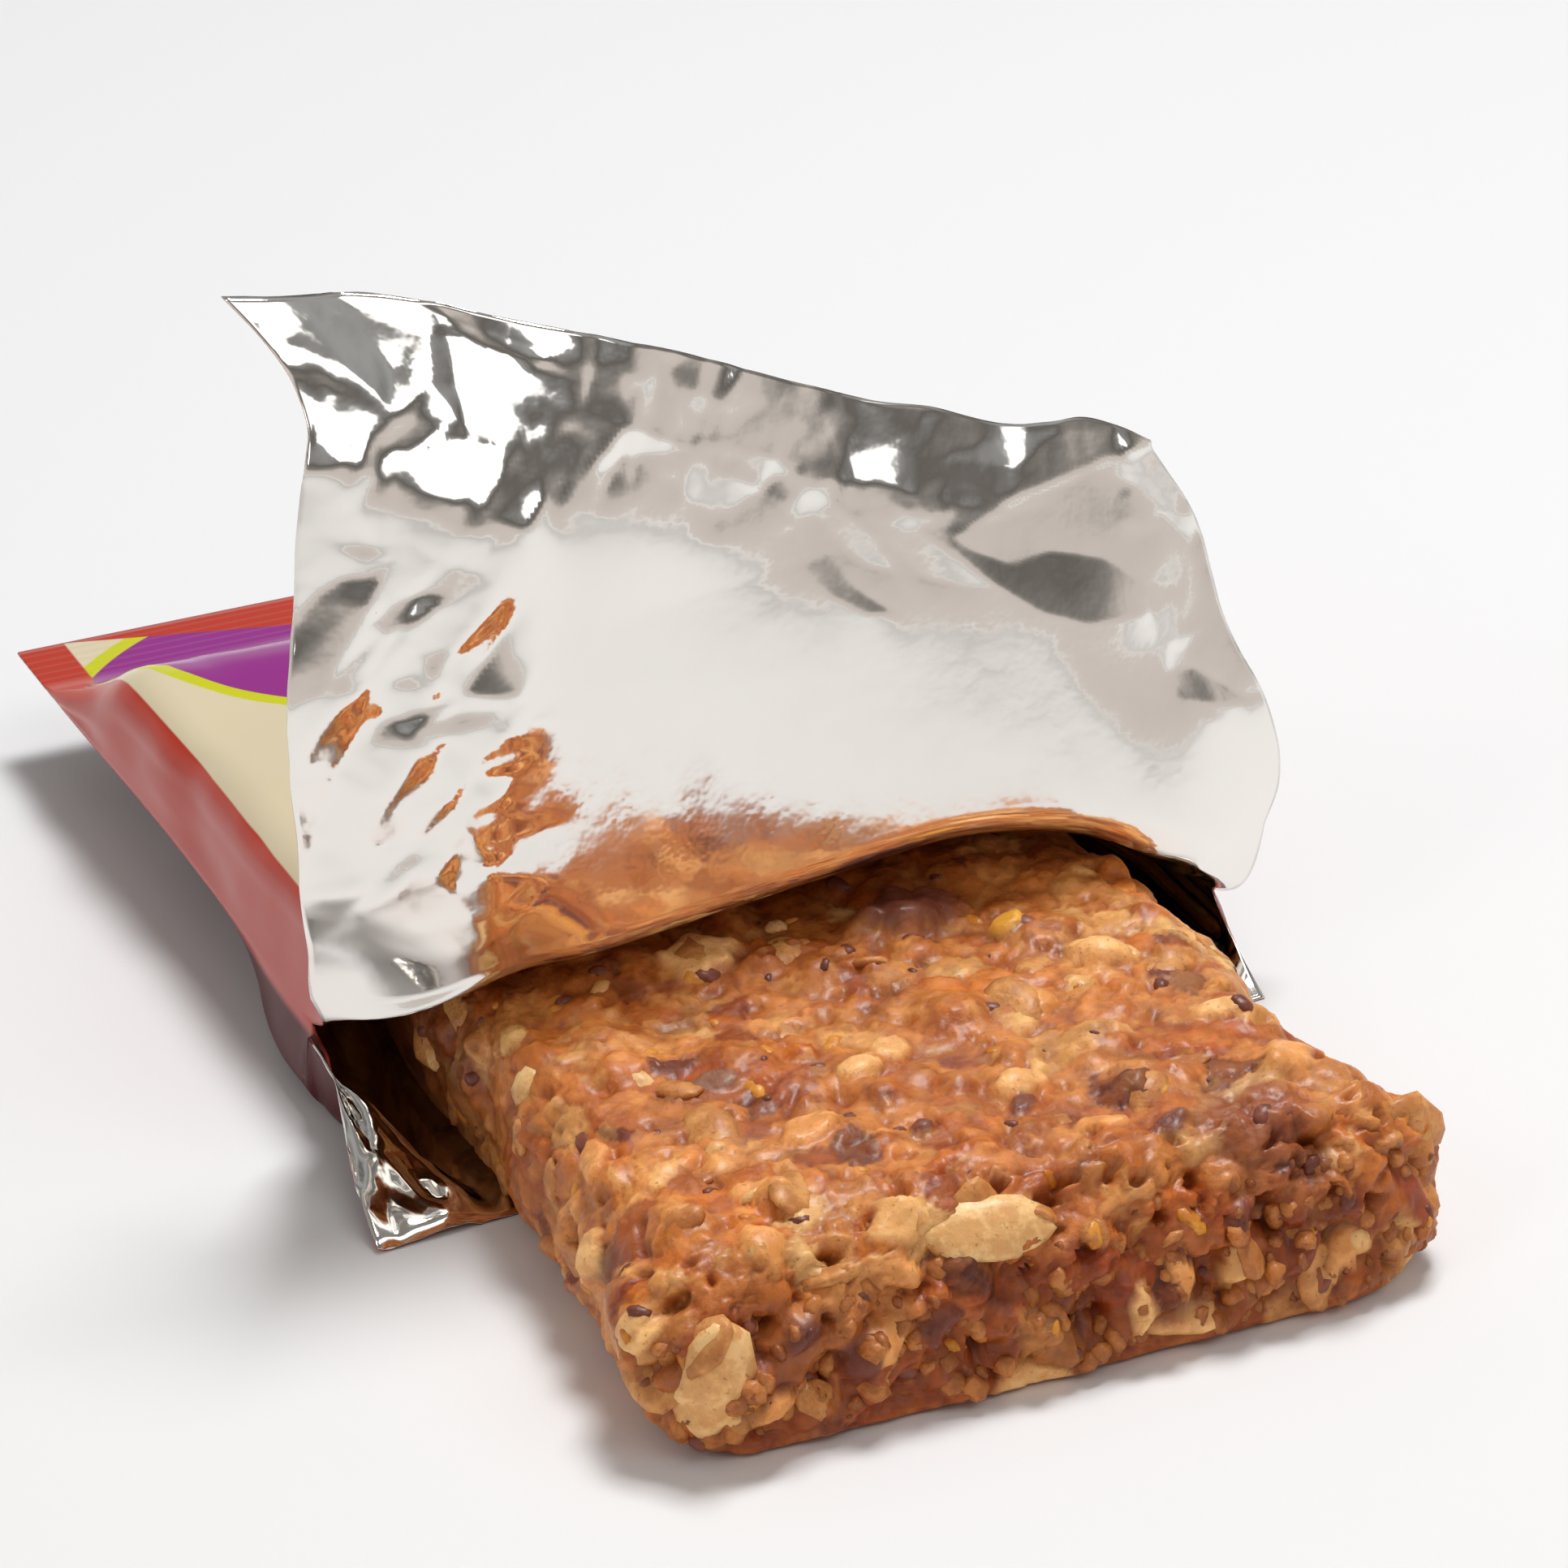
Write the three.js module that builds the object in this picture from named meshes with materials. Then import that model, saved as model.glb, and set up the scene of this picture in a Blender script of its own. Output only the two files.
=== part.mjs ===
// A chewy fruit-and-oat granola bar lying flat, half out of its torn-open flow wrap.
// Millimetres, +Z up. X runs across the bar and +Y along it, towards the closed end of the wrap.
// The origin is on the flat underside of the wrap, on the wrap's centre line.

import * as THREE from 'three';

// ---- Bar: a pressed slab, broken at its open end ----
const BAR = {
  leftX: -22.2,
  rightX: 18.5,
  height: 9.9,
  frontY: -41.6,
  rearY: 27.0,
  edgeReach: 4.8,        // rounding of the upper edges and of the corners, seen from above
  edgeDrop: 4.2,         // the same rounding, seen from the end
  footRise: 2.6,         // rise of the rounding along the lower edges
  sharpFoot: [0.3, 0.4], // powers that square the broken end's lower edge, along Y and up Z
  cornerSwell: { left: 0.7, right: 1.8, fromY: -24, over: 10, fadeFromZ: 4, fadeOver: 5 },
  taper: { by: 1.3, fromY: -16, over: 30 },  // the sides draw in towards the hidden end
  wave: { side: 0.4, top: 0.22 },            // slow waviness of the long sides and of the top
  settle: 0.3,           // the matrix lies this far below the pressed size, and the lumps fill it up
  smoothInSleeve: { proud: 0.1, fromY: -2, over: 6 },  // the film keeps the hidden half smooth
  broken: { reach: 8, lean: 1.4, crag: 1.1 },          // the open end: how far back, its lean, its roughness
  calmFoot: 2.0,         // no roughness at the table, full roughness from this height
};

// Oats, nuts and fruit that stand out of the surface
const LUMPS = {
  count: 190,
  reach: [1.4, 3.1],
  rise: [0.25, 0.8],
  shareOnSides: 0.3,
  sideZ: [2.5, 7.5],
  crowdToFront: 1.25,    // powers above 1 favour the open end and the smaller lumps
  mostlySmall: 1.6,
  dome: 1.3,
  flake: { at: [3.2, -37.6, 9.9], reach: 3.8, rise: 1.0 },
  cornerNut: { at: [-18.4, -40.0, 4.4], reach: 4.2, rise: 0.9 },
  cornerKnob: { at: [16.8, -36.4, 8.0], reach: 3.0, rise: 0.6 },
};

const BAR_CELLS = { across: 34, up: 6, shown: 1.3, hidden: 3.0, hiddenFromY: -5 };

// ---- Wrap: one printed foil film, a sleeve with a crimped seal behind ----
// Places across the film are given as w, the distance from its centre line when it lies flat.
const FILM = {
  thickness: 0.35,
  gapUnderBar: 0.3,
  halfFlat: 25.6,
  sealRearY: 45.3,
  sealDepth: 4.8,
  sealHeight: 6.0,
  sealHalfWidth: 25.1,
  sleeveHalfWidth: 24.6,
  sleeveTop: 11.25,
  narrowFromY: 28.5,     // behind the bar the sleeve narrows down to the seal
  widen: { fromY: 10, over: 30 },
  shoulder: { radius: 2.4, left: 0.7, right: 6.0, rightRear: 1.5 },  // how far in the shoulders stand
  foot: { radius: 2.0, front: -0.6, rear: 3.4, fromY: 2, over: 20 }, // bulges in front, draws in behind
  creaseHeight: { left: 5.0, right: 3.4 },           // the side creases, where the tears start
  tearY: { left: -0.5, right: -5.0 },
  trayFrontY: { left: -15.6, right: -11.5 },
  trayCornerX: { left: -27.0, right: 24.4 },
  traySettle: 0.7,       // power by which the open tray flattens on to the table
  underBar: { ahead: 2.4, over: 1.6 },  // the bar's underside steps up on to the film over this length
};

// ---- Flap: the torn upper panel, bent up and leaning back ----
// Each list holds pairs of w and a height or a distance, read as a smooth curve.
const FLAP = {
  bendFrontY: [
    [-25.6, -1.0], [-22, -7.2], [-17, -11.2], [-10, -11.6], [0, -9.0],
    [7.5, -7.2], [14, -10.6], [19, -11.4], [25.6, -7.6],
  ],
  bendZ: [
    [-25.6, 6.8], [-21, 8.9], [-16, 10.6], [-10, 10.8], [12, 10.9],
    [16, 10.2], [19, 8.2], [22, 6.0], [25.6, 4.2],
  ],
  footRise: [[-25.6, 4.0], [-18, 5.5], [18, 5.5], [25.6, 4.0]],
  topZ: [
    [-25.6, 46.8], [-23.5, 46.2], [-19, 45.1], [-15, 43.6], [-13, 43.2], [-10, 42.3], [0, 38.1],
    [8, 34.8], [12, 33.7], [16, 32.2], [21.5, 31.4], [24, 30.0], [25.6, 28.9],
  ],
  sheetY: [[-25.6, -6.5], [-18, -10.2], [-8, -11], [4, -9.6], [12, -9.8], [19, -10.6], [25.6, -8.2]],
  flatten: 12,           // the sheet's wave at its foot evens out over this height
  kneeZ: [
    [-25.6, 40], [-19.5, 37], [-15, 34.2], [-8, 31.8], [2, 27],
    [11, 22.5], [16, 18.5], [19, 16.5], [25.6, 15.5],
  ],
  kneeSoftness: 1.3,
  leanBelow: [
    [-25.6, 0.02], [-20, 0.05], [-15, 0.07], [-10, 0.08], [-3, 0.13], [5, 0.17], [14, 0.14], [25.6, 0.06],
  ],
  leanAbove: [
    [-25.6, 0.3], [-22.5, 0.7], [-15, 0.78], [-11.5, 0.45], [-7, 0.36], [5, 0.36], [12, 0.34], [25.6, 0.3],
  ],
  topLean: [[-25.6, 0.1], [-14, 0.1], [-9, 0.32], [25.6, 0.32]],   // the torn edge curls back further
  topBand: { height: 5, softness: 0.8 },
  leftEdgeX: [
    [5, -24.7], [11, -24.9], [16, -25.6], [20, -26.6], [24, -26.9], [32, -26.2], [38, -25.3], [41, -25.0],
    [43, -25.3], [46, -27.0],
  ],
  rightEdgeX: [
    [8, 26.2], [10, 27.0], [12, 27.2], [14, 26.8], [18, 25.1], [20, 24.5], [24, 23.9], [26, 23.4], [29, 22.0],
  ],
  pull: { across: 0.4, forward: 0.4, leave: 0.85, arrive: 0.75 },  // tightness of the bend at its foot
};

// Folds of the flap, each from one (w, height) to another, with its width and rise
const FOLDS = [
  { from: [9, 27.5], to: [20, 21.0], width: 1.3, rise: 0.5 },
  { from: [-5, 36.0], to: [4, 27.0], width: 1.2, rise: -0.4 },
  { from: [-23, 36.0], to: [-15, 33.5], width: 1.5, rise: 0.5 },
  { from: [-25, 17.0], to: [-14, 28.0], width: 1.3, rise: -0.4 },
];

const GRID = { columns: 30, sideColumns: 4, sleeveRows: 11, bendRows: 7, flapRows: 16, trayRows: 8 };

// ---- Small tools ----
const lerp = (a, b, t) => a + (b - a) * t;
const clamp = (v, lo, hi) => Math.min(hi, Math.max(lo, v));

function smooth(t) {
  const q = clamp(t, 0, 1);
  return q * q * (3 - 2 * q);
}

// Smooth curve through pairs of place and value
function along(stops, x) {
  const last = stops.length - 1;
  if (x <= stops[0][0]) return stops[0][1];
  if (x >= stops[last][0]) return stops[last][1];
  const i = stops.findIndex((stop) => x < stop[0]) - 1;
  const slope = (j) => {
    const before = stops[Math.max(j - 1, 0)];
    const after = stops[Math.min(j + 1, last)];
    return (after[1] - before[1]) / (after[0] - before[0]);
  };
  const [x0, y0] = stops[i];
  const [x1, y1] = stops[i + 1];
  const step = x1 - x0;
  const t = (x - x0) / step;
  const bump = t * (1 - t);
  return lerp(y0, y1, smooth(t)) + step * bump * ((1 - t) * slope(i) - t * slope(i + 1));
}

function seededRandom(seed) {
  let state = seed >>> 0;
  return () => {
    state = (state + 0x6d2b79f5) >>> 0;
    let t = state;
    t = Math.imul(t ^ (t >>> 15), t | 1);
    t ^= t + Math.imul(t ^ (t >>> 7), t | 61);
    return ((t ^ (t >>> 14)) >>> 0) / 4294967296;
  };
}

class MeshBuilder {
  constructor() {
    this.points = [];
    this.faces = [];
  }

  point(p) {
    this.points.push(p.clone());
    return this.points.length - 1;
  }

  triangle(a, b, c) {
    if (a !== b && b !== c && a !== c) this.faces.push(a, b, c);
  }

  quad(a, b, c, d) {
    this.triangle(a, b, c);
    this.triangle(a, c, d);
  }

  geometry() {
    const geometry = new THREE.BufferGeometry();
    const flat = this.points.flatMap((p) => [p.x, p.y, p.z]);
    geometry.setAttribute('position', new THREE.Float32BufferAttribute(flat, 3));
    geometry.setIndex(this.faces);
    geometry.computeVertexNormals();
    return geometry;
  }
}

// ---- The bar: a lattice box, its edges rounded, then roughened along its normals ----
function makeLumps() {
  const random = seededRandom(41);
  const lumps = [];
  for (let i = 0; i < LUMPS.count; i++) {
    const onSide = random() < LUMPS.shareOnSides;
    const y = lerp(BAR.frontY, BAR.rearY, random() ** LUMPS.crowdToFront);
    const across = random();
    const x = onSide ? [BAR.leftX, BAR.rightX][Math.round(across)] : lerp(BAR.leftX, BAR.rightX, across);
    const z = onSide ? lerp(...LUMPS.sideZ, random()) : BAR.height;
    const reach = lerp(...LUMPS.reach, random() ** LUMPS.mostlySmall);
    lumps.push({ at: [x, y, z], reach, rise: lerp(...LUMPS.rise, random()) });
  }
  lumps.push(LUMPS.flake, LUMPS.cornerNut, LUMPS.cornerKnob);
  return lumps.map((lump) => ({ ...lump, at: new THREE.Vector3(...lump.at) }));
}

function lumpRise(p, lumps) {
  let rise = 0;
  for (const lump of lumps) {
    const d = p.distanceTo(lump.at) / lump.reach;
    if (d < 1) rise = Math.max(rise, lump.rise * (1 - d * d) ** LUMPS.dome);
  }
  return rise;
}

// Roughness of the broken end, from -1 to 1
function crag(p) {
  const broad = Math.sin(p.x * 0.92 + 1.7) * Math.cos(p.z * 1.15 + p.y * 0.4);
  const fine = Math.sin(p.x * 1.9 - p.z * 1.3 + 0.6) * Math.cos(p.z * 1.7 - 0.4);
  return 0.6 * broad + 0.4 * fine;
}

// Height of the bar's underside: on the table in front of the film, on the film behind its edge
function undersideAt(y) {
  const fromY = FILM.trayFrontY.left - FILM.underBar.ahead;
  return (FILM.thickness + FILM.gapUnderBar) * smooth((y - fromY) / FILM.underBar.over);
}

function barPoint(p, lumps) {
  const core = new THREE.Vector3(
    clamp(p.x, BAR.leftX + BAR.edgeReach, BAR.rightX - BAR.edgeReach),
    clamp(p.y, BAR.frontY + BAR.edgeReach, BAR.rearY - BAR.edgeReach),
    clamp(p.z, BAR.footRise, BAR.height - BAR.edgeDrop),
  );
  const off = p.clone().sub(core);
  const rise = off.z < 0 ? BAR.footRise : BAR.edgeDrop;
  const normal = new THREE.Vector3(off.x / BAR.edgeReach, off.y / BAR.edgeReach, off.z / rise).normalize();
  const q = core.clone().add(normal.clone().multiply(new THREE.Vector3(BAR.edgeReach, BAR.edgeReach, rise)));
  const offTable = smooth(q.z / BAR.calmFoot);
  const shown = smooth((BAR.smoothInSleeve.fromY - q.y) / BAR.smoothInSleeve.over);
  const front = smooth((BAR.frontY + BAR.broken.reach - q.y) / BAR.broken.reach);

  // The broken end keeps a squarer lower edge than the pressed sides.
  if (normal.z < 0 && normal.y < 0) {
    const level = Math.hypot(normal.x, normal.y);
    const facing = -normal.y / level;
    q.y = core.y - BAR.edgeReach * facing * level ** BAR.sharpFoot[0];
    q.z = BAR.footRise * (1 - lerp(-normal.z, (-normal.z) ** BAR.sharpFoot[1], facing));
  }

  const slow = Math.sin(q.y * 0.23 + q.x * 0.11) * Math.cos(q.x * 0.19 - 0.7);
  const proud = lumpRise(q, lumps) + BAR.wave.top * slow - BAR.settle;
  const proudInSleeve = Math.min(proud, BAR.smoothInSleeve.proud);
  q.addScaledVector(normal, offTable * lerp(proudInSleeve, proud, shown));
  q.y += front * offTable * Math.abs(normal.y) * BAR.broken.crag * crag(q);
  q.y += front * BAR.broken.lean * smooth(q.z / BAR.height);
  q.x += Math.abs(normal.x) * offTable * BAR.wave.side * Math.sin(q.y * 0.31 + Math.sign(normal.x));

  const swell = BAR.cornerSwell;
  const byFront = smooth((swell.fromY - q.y) / swell.over);
  const higher = smooth((q.z - swell.fadeFromZ) / swell.fadeOver);
  q.x += normal.x * (normal.x < 0 ? swell.left : swell.right) * byFront * (1 - 0.5 * higher);
  q.x -= normal.x * BAR.taper.by * smooth((q.y - BAR.taper.fromY) / BAR.taper.over);

  const under = undersideAt(q.y);
  if (q.z < under + 1) q.z = under + q.z * (1 - under);
  return q;
}

function spread(from, to, step) {
  const count = Math.round((to - from) / step);
  return Array.from({ length: count + 1 }, (_, i) => lerp(from, to, i / count));
}

function makeBar() {
  const builder = new MeshBuilder();
  const lumps = makeLumps();
  const xs = spread(BAR.leftX, BAR.rightX, (BAR.rightX - BAR.leftX) / BAR_CELLS.across);
  const ys = [
    ...spread(BAR.frontY, BAR_CELLS.hiddenFromY, BAR_CELLS.shown),
    ...spread(BAR_CELLS.hiddenFromY, BAR.rearY, BAR_CELLS.hidden).slice(1),
  ];
  const zs = spread(0, BAR.height, BAR.height / BAR_CELLS.up);
  const nx = xs.length - 1;
  const ny = ys.length - 1;
  const nz = zs.length - 1;

  const ids = new Map();
  const at = (i, j, k) => {
    const key = `${i},${j},${k}`;
    if (!ids.has(key)) ids.set(key, builder.point(barPoint(new THREE.Vector3(xs[i], ys[j], zs[k]), lumps)));
    return ids.get(key);
  };

  for (let i = 0; i < nx; i++) {
    for (let j = 0; j < ny; j++) {
      builder.quad(at(i, j, nz), at(i + 1, j, nz), at(i + 1, j + 1, nz), at(i, j + 1, nz));
    }
  }
  for (let k = 0; k < nz; k++) {
    for (let i = 0; i < nx; i++) {
      builder.quad(at(i, 0, k), at(i + 1, 0, k), at(i + 1, 0, k + 1), at(i, 0, k + 1));
      builder.quad(at(i, ny, k + 1), at(i + 1, ny, k + 1), at(i + 1, ny, k), at(i, ny, k));
    }
    for (let j = 0; j < ny; j++) {
      builder.quad(at(0, j, k + 1), at(0, j + 1, k + 1), at(0, j + 1, k), at(0, j, k));
      builder.quad(at(nx, j, k), at(nx, j + 1, k), at(nx, j + 1, k + 1), at(nx, j, k + 1));
    }
  }

  // Underside: the rounded margin keeps its cells, and the flat middle is one strip for each row.
  const i0 = xs.findIndex((x) => x >= BAR.leftX + BAR.edgeReach);
  const i1 = xs.findLastIndex((x) => x <= BAR.rightX - BAR.edgeReach);
  const j0 = ys.findIndex((y) => y >= BAR.frontY + BAR.edgeReach);
  const j1 = ys.findLastIndex((y) => y <= BAR.rearY - BAR.edgeReach);
  for (let i = 0; i < nx; i++) {
    for (let j = 0; j < ny; j++) {
      const inMiddle = i >= i0 && i < i1 && j >= j0 && j < j1;
      if (!inMiddle) builder.quad(at(i, j, 0), at(i, j + 1, 0), at(i + 1, j + 1, 0), at(i + 1, j, 0));
    }
  }
  for (let j = j0 + 1; j < j1 - 1; j++) {
    builder.quad(at(i0, j, 0), at(i0, j + 1, 0), at(i1, j + 1, 0), at(i1, j, 0));
  }
  for (let i = i0; i < i1; i++) {
    builder.triangle(at(i0, j0 + 1, 0), at(i + 1, j0, 0), at(i, j0, 0));
    builder.triangle(at(i1, j1 - 1, 0), at(i, j1, 0), at(i + 1, j1, 0));
  }
  builder.triangle(at(i0, j0 + 1, 0), at(i1, j0 + 1, 0), at(i1, j0, 0));
  builder.triangle(at(i1, j1 - 1, 0), at(i0, j1 - 1, 0), at(i0, j1, 0));
  return builder.geometry();
}

// ---- The film's middle surface ----
const halfFilm = FILM.thickness / 2;
const shoulderW = FILM.halfFlat * (1 - (2 * GRID.sideColumns) / GRID.columns);
const acrossShare = (w) => (w / FILM.halfFlat + 1) / 2;
const tearY = (w) => lerp(FILM.tearY.left, FILM.tearY.right, acrossShare(w));

// A point of the sleeve: over = 1 for the half over the bar and -1 for the half under it
function sleevePoint(w, y, over) {
  const sealFrontY = FILM.sealRearY - FILM.sealDepth;
  const narrowing = smooth((y - FILM.narrowFromY) / (sealFrontY - FILM.narrowFromY));
  const forward = smooth((FILM.narrowFromY - y) / (FILM.narrowFromY - FILM.tearY.left));
  const onRight = w > 0;
  const crease = lerp(FILM.sealHeight, onRight ? FILM.creaseHeight.right : FILM.creaseHeight.left, forward);
  const level = over > 0
    ? lerp(FILM.sleeveTop, FILM.sealHeight + halfFilm, narrowing)
    : lerp(halfFilm, FILM.sealHeight - halfFilm, narrowing);
  const widening = smooth((y - FILM.widen.fromY) / FILM.widen.over);
  const width = lerp(FILM.sleeveHalfWidth, FILM.sealHalfWidth, widening);
  const tall = Math.abs(level - crease);
  const wanted = over > 0 ? FILM.shoulder.radius : FILM.foot.radius;
  const radius = Math.min(wanted, tall * 0.8);
  const { left, right, rightRear } = FILM.shoulder;
  const shoulder = onRight ? lerp(rightRear, right, forward) : left;
  const foot = lerp(FILM.foot.front, FILM.foot.rear, smooth((y - FILM.foot.fromY) / FILM.foot.over));
  const inset = (1 - narrowing) * (over > 0 ? shoulder : foot);

  // From the crease up or down the side, round the shoulder and along the flat
  const q = Math.abs(w);
  let x = (width - inset - radius) * Math.min(q / shoulderW, 1);
  let up = tall;
  if (q > shoulderW) {
    const wall = tall - radius;
    const arc = (radius * Math.PI) / 2;
    const run = ((FILM.halfFlat - q) / (FILM.halfFlat - shoulderW)) * (wall + arc);
    const turn = Math.max(run - wall, 0) / radius;
    x = width - inset * Math.min(run / wall, 1) - radius * (1 - Math.cos(turn));
    up = Math.min(run, wall) + radius * Math.sin(turn);
  }
  return new THREE.Vector3(Math.sign(w) * x, y, crease + over * up);
}

// 0 far below zero, the value itself far above it and a soft corner between
const softRamp = (value, softness) => softness * Math.log1p(Math.exp(value / softness));

function foldRise(w, z) {
  const here = new THREE.Vector2(w, z);
  let rise = 0;
  for (const fold of FOLDS) {
    const from = new THREE.Vector2(...fold.from);
    const line = new THREE.Vector2(...fold.to).sub(from);
    const s = clamp(here.clone().sub(from).dot(line) / line.lengthSq(), 0, 1);
    const off = here.clone().sub(from).distanceTo(line.clone().multiplyScalar(s)) / fold.width;
    rise += fold.rise * Math.exp(-off * off) * Math.sin(Math.PI * clamp(s, 0.1, 0.9));
  }
  return rise;
}

// The upright sheet of the flap, as a distance from the bend for each height
function sheetPoint(w, z) {
  const x = lerp(along(FLAP.leftEdgeX, z), along(FLAP.rightEdgeX, z), acrossShare(w));
  const below = along(FLAP.leanBelow, w);
  const above = along(FLAP.leanAbove, w);
  const knee = softRamp(z - along(FLAP.kneeZ, w), FLAP.kneeSoftness);
  const pastBand = softRamp(z - along(FLAP.topZ, w) + FLAP.topBand.height, FLAP.topBand.softness);
  const curl = along(FLAP.topLean, w) * pastBand;
  const foot = along(FLAP.bendZ, w) + along(FLAP.footRise, w);
  const front = lerp(along(FLAP.bendFrontY, w), along(FLAP.sheetY, w), smooth((z - foot) / FLAP.flatten));
  const y = front + below * (z - foot) + (above - below) * knee + curl - foldRise(w, z);
  return new THREE.Vector3(x, y, z);
}

function flapPoint(w, row) {
  const foot = along(FLAP.bendZ, w) + along(FLAP.footRise, w);
  if (row > GRID.bendRows) {
    return sheetPoint(w, lerp(foot, along(FLAP.topZ, w), (row - GRID.bendRows) / GRID.flapRows));
  }
  const start = sleevePoint(w, tearY(w), 1);
  const end = sheetPoint(w, foot);
  const cornerX = lerp(start.x, end.x, FLAP.pull.across);
  const corner = new THREE.Vector3(cornerX, end.y - FLAP.pull.forward, along(FLAP.bendZ, w));
  const leave = start.clone().lerp(corner, FLAP.pull.leave);
  const arrive = end.clone().lerp(corner, FLAP.pull.arrive);
  return new THREE.CubicBezierCurve3(start, leave, arrive, end).getPoint(row / GRID.bendRows);
}

// The lower half runs on under the bar and opens out flat towards its torn front edge.
function trayPoint(w, row) {
  const share = row / GRID.trayRows;
  const start = sleevePoint(w, tearY(w), -1);
  const across = acrossShare(w);
  const flatX = lerp(FILM.trayCornerX.left, FILM.trayCornerX.right, across);
  const frontY = lerp(FILM.trayFrontY.left, FILM.trayFrontY.right, across);
  const x = lerp(start.x, flatX, smooth(share));
  const z = lerp(start.z, halfFilm, share ** FILM.traySettle);
  return new THREE.Vector3(x, lerp(start.y, frontY, share), z);
}

// ---- The film as a closed thin body ----
function makeWrap() {
  const builder = new MeshBuilder();
  const last = GRID.columns;
  const wAt = (i) => lerp(-FILM.halfFlat, FILM.halfFlat, i / last);
  const sealFrontY = FILM.sealRearY - FILM.sealDepth;
  const columns = Array.from({ length: last + 1 }, (_, i) => i);

  // One grid over the bar and one under it share their vertices along the side creases.
  const middle = [];
  const add = (p) => middle.push(p) - 1;
  const rowsOver = [];
  const rowsUnder = [];
  for (let j = 0; j <= GRID.sleeveRows; j++) {
    const yAt = (i) => lerp(sealFrontY, tearY(wAt(i)), j / GRID.sleeveRows);
    const over = columns.map((i) => add(sleevePoint(wAt(i), yAt(i), 1)));
    const atCrease = (i) => i === 0 || i === last;
    rowsOver.push(over);
    rowsUnder.push(columns.map((i) => (atCrease(i) ? over[i] : add(sleevePoint(wAt(i), yAt(i), -1)))));
  }
  for (let j = 1; j <= GRID.bendRows + GRID.flapRows; j++) {
    rowsOver.push(columns.map((i) => add(flapPoint(wAt(i), j))));
  }
  for (let j = 1; j <= GRID.trayRows; j++) {
    rowsUnder.push(columns.map((i) => add(trayPoint(wAt(i), j))));
  }
  const faces = [];
  for (let i = 0; i < last; i++) {
    for (let j = 0; j + 1 < rowsOver.length; j++) {
      faces.push([rowsOver[j][i], rowsOver[j + 1][i], rowsOver[j + 1][i + 1], rowsOver[j][i + 1]]);
    }
    for (let j = 0; j + 1 < rowsUnder.length; j++) {
      faces.push([rowsUnder[j][i], rowsUnder[j][i + 1], rowsUnder[j + 1][i + 1], rowsUnder[j + 1][i]]);
    }
  }

  const normals = middle.map(() => new THREE.Vector3());
  for (const face of faces) {
    const [p, q, r, s] = face.map((id) => middle[id]);
    const normal = r.clone().sub(p).cross(s.clone().sub(q));
    face.forEach((id) => normals[id].add(normal));
  }
  normals.forEach((normal) => normal.normalize());

  // Two faces, half a film to each side. Inside, both halves end on one line at the weld.
  const outer = middle.map((p, id) => builder.point(p.clone().addScaledVector(normals[id], halfFilm)));
  const weldOver = rowsOver[0];
  const weldUnder = rowsUnder[0];
  const atWeld = new Set([...weldOver, ...weldUnder]);
  const inner = middle.map((p, id) => (
    atWeld.has(id) ? -1 : builder.point(p.clone().addScaledVector(normals[id], -halfFilm))
  ));
  for (const i of columns) {
    inner[weldOver[i]] = builder.point(middle[weldOver[i]].clone().lerp(middle[weldUnder[i]], 0.5));
    inner[weldUnder[i]] = inner[weldOver[i]];
  }
  for (const [p, q, r, s] of faces) {
    builder.quad(outer[p], outer[q], outer[r], outer[s]);
    builder.quad(inner[s], inner[r], inner[q], inner[p]);
  }

  // The welded seal runs on to the rear edge.
  const toRear = (id) => {
    const p = builder.points[outer[id]].clone();
    return builder.point(p.setY(FILM.sealRearY));
  };
  const rearOver = weldOver.map(toRear);
  const rearUnder = weldUnder.map((id, i) => (i === 0 || i === last ? rearOver[i] : toRear(id)));
  for (let i = 0; i < last; i++) {
    builder.quad(rearOver[i], outer[weldOver[i]], outer[weldOver[i + 1]], rearOver[i + 1]);
    builder.quad(rearUnder[i], rearUnder[i + 1], outer[weldUnder[i + 1]], outer[weldUnder[i]]);
    builder.quad(rearOver[i], rearOver[i + 1], rearUnder[i + 1], rearUnder[i]);
  }

  // The torn edge: up the flap's left side, over its top, down its right side and round the tray
  const tornOver = rowsOver.slice(GRID.sleeveRows);
  const tornUnder = rowsUnder.slice(GRID.sleeveRows + 1);
  const loop = [
    ...tornOver.map((row) => row[0]),
    ...tornOver.at(-1).slice(1, -1),
    ...tornOver.map((row) => row[last]).reverse(),
    ...tornUnder.map((row) => row[last]),
    ...tornUnder.at(-1).slice(1, -1).reverse(),
    ...tornUnder.map((row) => row[0]).reverse(),
  ];
  loop.forEach((id, n) => {
    const next = loop[(n + 1) % loop.length];
    builder.quad(outer[next], outer[id], inner[id], inner[next]);
  });
  return builder.geometry();
}

// ---- The object ----
const barMaterial = new THREE.MeshStandardMaterial({ color: 0xb9763f, roughness: 0.45, metalness: 0 });
const wrapMaterial = new THREE.MeshStandardMaterial({ color: 0xd6d3cf, roughness: 0.2, metalness: 0.85 });

const bar = new THREE.Mesh(makeBar(), barMaterial);
bar.name = 'bar';
const wrapper = new THREE.Mesh(makeWrap(), wrapMaterial);
wrapper.name = 'wrapper';

const granolaBar = new THREE.Group();
granolaBar.add(bar, wrapper);

export default granolaBar;
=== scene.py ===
import math

import bpy
import numpy as np
from mathutils import Matrix, Quaternion, Vector, geometry, kdtree, noise


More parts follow.
